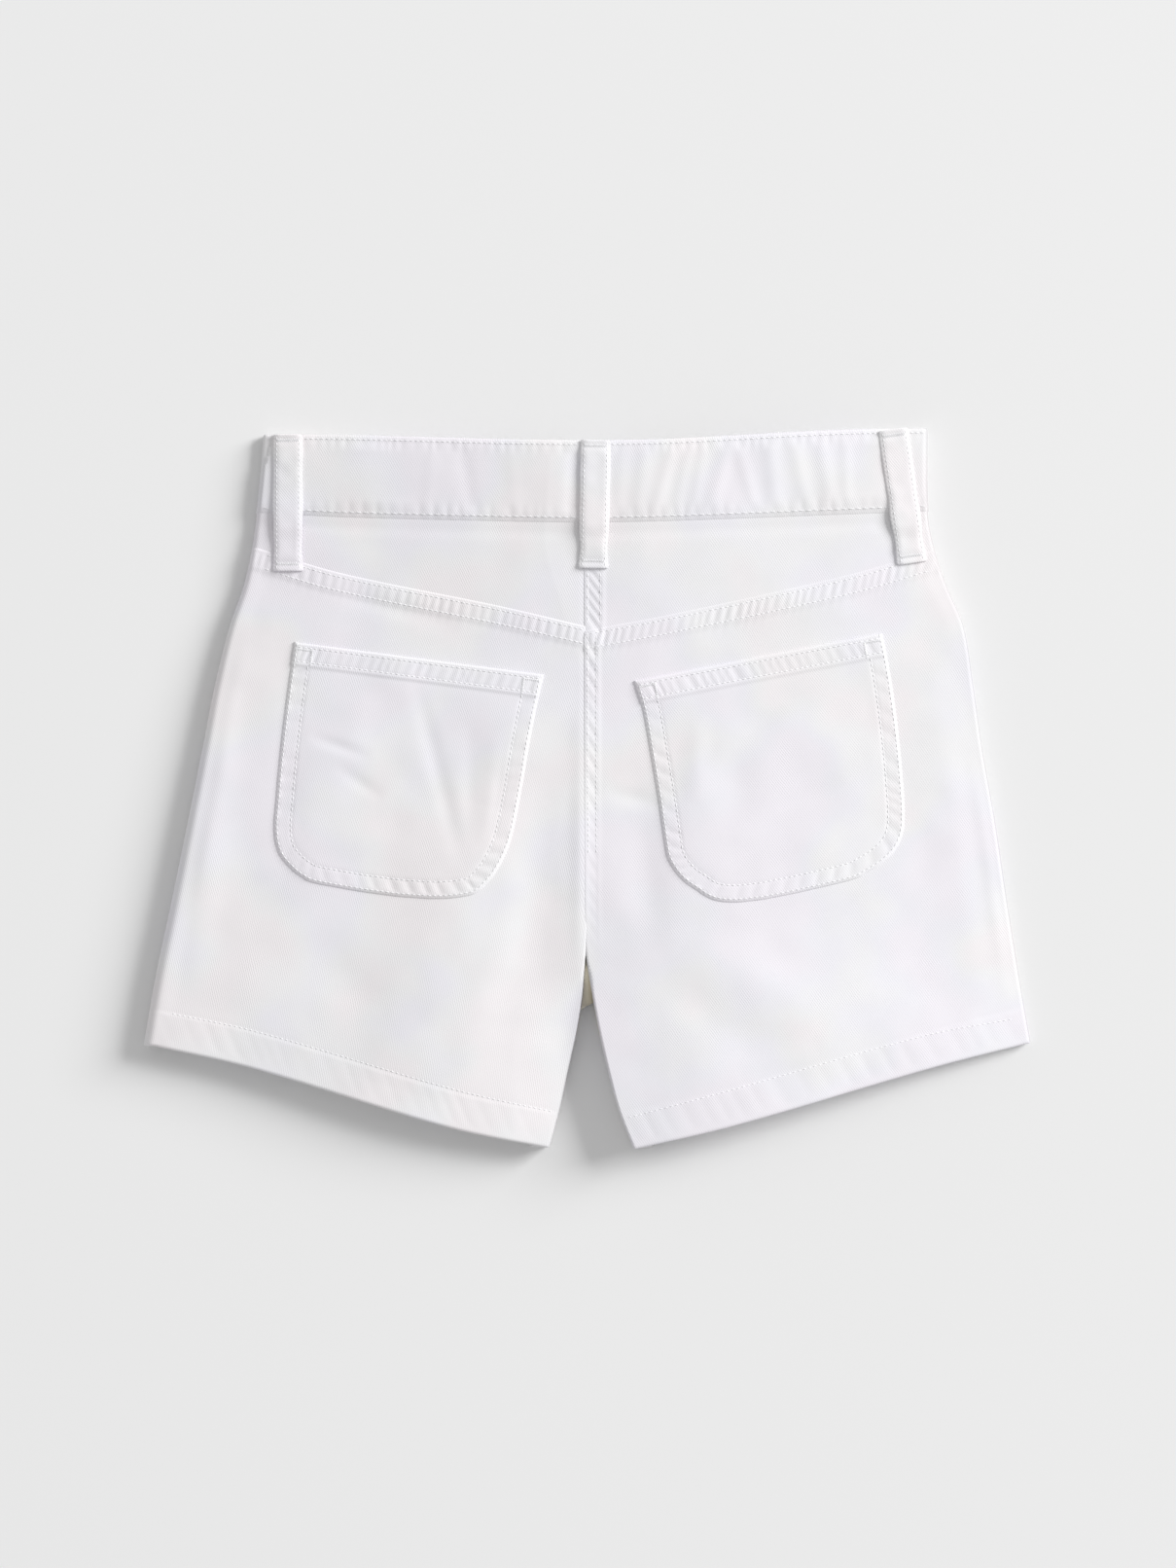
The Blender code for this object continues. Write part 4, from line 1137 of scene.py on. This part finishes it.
def cotton(name, pitch=TWILL, length=FLOAT_LENGTH):
    """White cotton twill. The weave map gives millimetres across and along the diagonal lines."""
    look, tree, shader = new_look(name)
    weave = add(tree, "ShaderNodeUVMap", uv_map="weave")
    split = add(tree, "ShaderNodeSeparateXYZ", {0: weave}).node.outputs
    across = scaled(tree, clouds(tree, weave, 0.35, 3.0), 0.8, split[0])
    line = maths(tree, "DIVIDE", across, pitch)
    ridge = maths(tree, "SINE", maths(tree, "MULTIPLY", line, 2 * math.pi))
    step = maths(tree, "MULTIPLY", maths(tree, "FLOOR", line), 0.37)
    along = maths(tree, "ADD", maths(tree, "DIVIDE", split[1], length), step)
    floats = maths(tree, "SINE", maths(tree, "MULTIPLY", along, 2 * math.pi))
    cloth = scaled(tree, ridge, 0.8, maths(tree, "MULTIPLY", floats, 0.3))
    strong = scaled(tree, clouds(tree, weave, 0.03, 2.0), 2.4, -0.2)
    cloth = maths(tree, "MULTIPLY", cloth, strong)
    slub, patch = clouds(tree, weave, 1.3, 4.0), clouds(tree, weave, 0.045, 4.0)
    # The twill lines in the colour are painted shade of the weave's ridges, beside its bump; slub and patch are the
    # cloth's own uneven tone
    tone = scaled(tree, cloth, 0.18, maths(tree, "MULTIPLY", patch, 0.6))
    tone = scaled(tree, slub, 0.3, tone)
    colour = ramp(tree, tone, (0.1, 0.82, 0.82, 0.83), (0.8, 0.92, 0.92, 0.92))
    where = in_place(tree)
    pink, plain = (0.38, 1.0, 0.964, 0.974), (0.46, 0.98, 0.974, 0.98)
    blue, mauve = (0.55, 0.966, 0.956, 1.0), (0.63, 0.985, 0.953, 1.0)
    tint = ramp(tree, clouds(tree, where, 17.0, 2.0), pink, plain, blue, mauve)
    colour = add(tree, "ShaderNodeVectorMath", {0: colour, 1: tint}, operation="MULTIPLY")
    painted_shade, natural = (add(tree, "ShaderNodeAttribute", output="Fac", attribute_name=n) for n in ("painted_shade", "natural"))
    # Painted shade: the colour is painted up to 0.48 darker where an edge turns towards the low light
    share = scaled(tree, painted_shade, -0.48, 1.0)
    colour = add(tree, "ShaderNodeVectorMath", {0: colour, "Scale": share}, operation="SCALE")
    # Of the sockets of this node, inputs 4 and 5 and output 1 are those for vectors
    colour = add(tree, "ShaderNodeMix", {0: natural, 4: colour, 5: NATURAL}, output=1, data_type="VECTOR")
    height = scaled(tree, slub, 0.8, cloth)
    put(tree, shader, {"Base Color": colour, "Normal": bumps(tree, height, 1.0, 0.000016)})
    put(tree, shader, {"Roughness": scaled(tree, slub, 0.08, 0.84), "Sheen Weight": 0.12})
    put(tree, shader, {"Sheen Roughness": 0.6, "Specular IOR Level": 0.2})
    return look


def thread_look():
    look, tree, shader = new_look("white_thread")
    where = in_place(tree)
    twist = clouds(tree, where, 2600.0, 1.0)
    colour = ramp(tree, twist, (0.0, 0.86, 0.86, 0.88), (1.0, 0.93, 0.93, 0.94))
    put(tree, shader, {"Base Color": colour, "Normal": bumps(tree, twist, 0.5, 0.00005)})
    put(tree, shader, {"Roughness": 0.6, "Sheen Weight": 0.2})
    return look


def brushed_metal():
    """Satin steel with fine scratches along x and duller patches where it is handled."""
    look, tree, shader = new_look("button_metal")
    where = in_place(tree)
    drawn = add(tree, "ShaderNodeVectorMath", {0: where, 1: (300.0, 9000.0, 2000.0)}, operation="MULTIPLY")
    scratches, patches = clouds(tree, drawn, 1.0, 3.0), clouds(tree, where, 350.0, 2.0)
    colour = ramp(tree, patches, (0.3, 0.56, 0.55, 0.53), (0.7, 0.70, 0.69, 0.67))
    put(tree, shader, {"Base Color": colour, "Normal": bumps(tree, scratches, 0.3, 0.00002)})
    put(tree, shader, {"Roughness": scaled(tree, patches, 0.2, 0.25), "Metallic": 1.0})
    return look


# ---- Putting it together

cloth_look, tape_look = cotton("white_denim"), cotton("zip_tape", 0.45, 0.7)
thread, metal = thread_look(), brushed_metal()
pieces = {}
for side, word in WORD.items():
    for cut_piece in (back_panel, back_yoke, back_pocket, front_panel):
        pieces[f"{cut_piece.__name__}_{word}"] = cut_piece(side, cloth_look)
pieces["waistband"] = waistband(cloth_look)
pieces.update({name: back_loop(name, loop, cloth_look) for name, loop in BACK_LOOPS.items()})
pieces.update({name: front_loop(name, loop, cloth_look) for name, loop in FRONT_LOOPS.items()})
front_button(metal)
tapes, zip_metal = fly_zip(tape_look, metal)
trees = {name: tree_of(piece) for name, piece in pieces.items()}
sewn = {name: [] for name in pieces}


def sew(label, names, paths, **settings):
    """Rows of stitches through these pieces. They go with the first of them."""
    made = stitches(f"stitches_{label}", [trees[name] for name in names], paths, look=thread, **settings)
    sewn[names[0]].append(made)


def level(down, start, end):
    """A row of points at one height, from start to end."""
    return stacked(np.linspace(start, end, 60), np.full(60, down))


def upright(x, start, end, count=120):
    """A row of points up or down from start to end. Their x is a number, or a function of their y."""
    y = np.linspace(start, end, count)
    return stacked(x(y) if callable(x) else np.full(count, x), y)


def rows_and_bars(label, name, place, rows, bars, row_gap, row_radius, facing=1):
    """Rows of stitches, and dense bars at their ends, on a piece that has a way of its own to place them."""
    for kind, paths, gap, radius in (("rows", rows, row_gap, row_radius), ("bars", bars, 0.1, BAR_THREAD)):
        paths = [stacked(*place(path[:, 0], path[:, 1])) for path in paths]
        sew(f"{label}_{kind}", [name], paths, gap=gap, radius=radius, facing=facing)


for side, word in WORD.items():
    rows = [between(side, "yoke_seam", "fell_foot", row / FELL_FULL, -0.4) for row in (UPPER_ROW, LOWER_ROW)]
    sew(f"yoke_seam_{word}", [f"back_panel_{word}"], [along_line(side, row) for row in rows])
    hem = between(side, "hem_stitch", "hem_edge", 0.02)
    sew(f"hem_{word}", [f"back_panel_{word}"], [along_line(side, hem, 0.03, 0.985)], radius=0.15, gap=0.8)
    front_hem = stacked(*front_row(side, hem, np.linspace(0.01, 0.99, 120)))
    sew(f"hem_front_{word}", [f"front_panel_{word}"], [front_hem], facing=-1)
    seam = pocket_seam(side)
    outer_row, inner_row = (inside_line(seam, row) for row in POCKET_ROWS)
    hem_rows = [level(down, 1.5, end) for down, end in zip(POCKET_HEM_ROWS, (113.5, 112.5))]
    bars = []
    for start, end in ((1.6, 8.6), (113.0, 106.0)):
        bars += zigzag((start, 3.2), (end, 3.2), 1.7, 16) + zigzag((end, 2.6), (end, 10.2), 1.7, 18)
    rows = [outer_row, inner_row[inner_row[:, 1] > 10.0], *hem_rows]
    rows_and_bars(f"pocket_{word}", f"back_pocket_{word}", partial(pocket_place, side), rows, bars, 0.6, THREAD)
rows = [(reach, 70.0, -30.0) for reach in (1.6, 5.4)] + [(reach, 118.0, 76.0) for reach in (1.6, 7.4)]
rows = [upright(lambda y, reach=reach: inner_x(RIGHT, y) + reach, start, end) for reach, start, end in rows]
sew("centre_seam", ["back_panel_right", "back_yoke_right"], rows, radius=0.13)

for name, loop in {**BACK_LOOPS, **FRONT_LOOPS}.items():
    length = strap_length(loop)
    rows = [upright(aside, 1.0, length - 1.0) for aside in (-LOOP_ROW, LOOP_ROW)]
    bars = [bar for y in (BAR_DOWN, length - BAR_UP) for bar in zigzag((-5.0, y), (5.0, y), 2.0, 22)]
    facing = 1 if name in BACK_LOOPS else -1
    rows_and_bars(name, name, partial(strap_place, loop), rows, bars, 0.7, 0.13, facing)

shares = BAND_ROWS[0] / BAND_DEPTH, 1.0 - BAND_ROWS[1] / BAND_DEPTH
for label, share, pitch in zip(("top", "foot"), shares, (STITCH, LONG_STITCH)):
    paths = [along_line(side, between(side, "waist_edge", "band_foot", share), 0.0) for side in (LEFT, RIGHT)]
    sew(f"waist_{label}", ["waistband"], paths, pitch=pitch)
    x = np.linspace(-134.0, 134.0, 200)
    y = mix(front_y("waist_edge", x), front_y("band_foot", x), share)
    sew(f"waist_front_{label}", ["waistband"], [stacked(x, y)], pitch=pitch, facing=-1)
foot, head = (front_y(name, FRONT_CENTRE) for name in ("band_foot", "waist_edge"))
sew("waist_lap", ["waistband"], [upright(LAP_OUTER_END - 2.5, foot + 3.0, head - 2.5)], facing=-1)
buttonhole = []
for y in (mix(foot, head, 0.5) - 1.3, mix(foot, head, 0.5) + 1.3):
    buttonhole += zigzag((FRONT_CENTRE - 12.0, y), (FRONT_CENTRE + 12.0, y), 1.8, 24)
sew("buttonhole", ["waistband"], buttonhole, gap=0.1, facing=-1)
turn = np.linspace(0.0, math.pi / 2, 40)
rows = []
for inset in (0.0, 6.0):
    width, bend = FLY_WIDTH - inset, FLY_BEND - inset
    straight = upright(FRONT_CENTRE - width, foot - 2.0, FLY_BOTTOM + FLY_BEND, 60)
    x = FRONT_CENTRE - width * np.cos(turn) - 1.0 * np.sin(turn)
    rows.append(np.concatenate([straight, stacked(x, FLY_BOTTOM + inset + bend * (1.0 - np.sin(turn)))]))
for aside in (1.6, 7.0):
    rows.append(upright(lambda y, aside=aside: front_seam_x(y) - aside, FLY_BOTTOM - 2.0, FRONT_CROTCH_Y + 6.0))
sew("fly", ["front_panel_left"], rows, facing=-1)

# ---- The cut of each piece of cloth, in metres

Cut = namedtuple("Cut", "width length area rests_on")
FRONT_PANELS = ["front_panel_left", "front_panel_right"]
CUTS = {
    "back_panel_left": Cut(0.222, 0.241, 0.0472, ["front_panel_left"]),
    "back_panel_right": Cut(0.224, 0.239, 0.0482, ["front_panel_right"]),
    "back_yoke_left": Cut(0.166, 0.051, 0.0058, ["front_panel_left"]),
    "back_yoke_right": Cut(0.178, 0.053, 0.0067, ["front_panel_right"]),
    "back_pocket_left": Cut(0.116, 0.110, 0.0119, ["back_panel_left"]),
    "back_pocket_right": Cut(0.117, 0.110, 0.0120, ["back_panel_right"]),
    "front_panel_left": Cut(0.184, 0.274, 0.0452, ["floor"]),
    "front_panel_right": Cut(0.180, 0.274, 0.0446, ["floor"]),
    "waistband": Cut(0.684, 0.038, 0.0259, FRONT_PANELS),
    "belt_loop_back_left": Cut(0.0145, 0.063, 0.00091, ["waistband", "back_yoke_left"]),
    "belt_loop_back_centre": Cut(0.0145, 0.059, 0.00085, ["waistband", "back_yoke_right"]),
    "belt_loop_back_right": Cut(0.0145, 0.062, 0.00089, ["waistband", "back_yoke_right"]),
    "belt_loop_front_left": Cut(0.0145, 0.059, 0.00085, ["floor"]),
    "belt_loop_front_right": Cut(0.0145, 0.059, 0.00085, ["floor"]),
}
TAPE_CUT = Cut(0.012, 0.089, 0.00105, FRONT_PANELS)
sheets = [(pieces[name], cut, sewn[name]) for name, cut in CUTS.items()]
sheets += [(tapes[0], TAPE_CUT, zip_metal), (tapes[1], TAPE_CUT, [])]

# ---- Floor, light and camera

bpy.ops.mesh.primitive_plane_add(size=8.0, location=(0.0, 0.0, -0.0004))
floor = bpy.context.object
floor.name = "floor"
floor_look, tree, shader = new_look("floor_paper")
put(tree, shader, {"Base Color": (0.86, 0.86, 0.86, 1.0), "Roughness": 0.9, "Specular IOR Level": 0.1})
floor.data.materials.append(floor_look)

scene = bpy.context.scene
scene.world = bpy.data.worlds.new("studio")
scene.world.use_nodes = True
put(scene.world.node_tree, scene.world.node_tree.nodes["Background"], {"Color": (1.0, 1.0, 1.0, 1.0), "Strength": 0.5})

LIGHT_HEIGHT = math.radians(23.0)  # above the floor, as an angle
LIGHT_DISTANCE, LIGHT_SIZE, LIGHT_POWER = 14.0, 6.3, 2450.0
light_data = bpy.data.lights.new("key", "AREA")
light_data.shape, light_data.size, light_data.energy = "SQUARE", LIGHT_SIZE, LIGHT_POWER
light = bpy.data.objects.new("key", light_data)
reach = math.cos(LIGHT_HEIGHT)
towards = Vector((math.cos(LIGHT_TURN) * reach, math.sin(LIGHT_TURN) * reach, math.sin(LIGHT_HEIGHT)))
light.location = towards * LIGHT_DISTANCE
light.rotation_euler = towards.to_track_quat("Z", "Y").to_euler()
scene.collection.objects.link(light)

CAMERA_HEIGHT, PICTURE_LENGTH = 2.4, 0.719  # of the camera, and of what it sees of the floor
camera_data = bpy.data.cameras.new("camera")
camera_data.sensor_fit, camera_data.sensor_height = "VERTICAL", 36.0
camera_data.lens = 36.0 * CAMERA_HEIGHT / PICTURE_LENGTH
camera = bpy.data.objects.new("camera", camera_data)
camera.location = (0.0002, 0.0018, CAMERA_HEIGHT)
scene.collection.objects.link(camera)
scene.camera = camera
scene.view_settings.view_transform = "Standard"
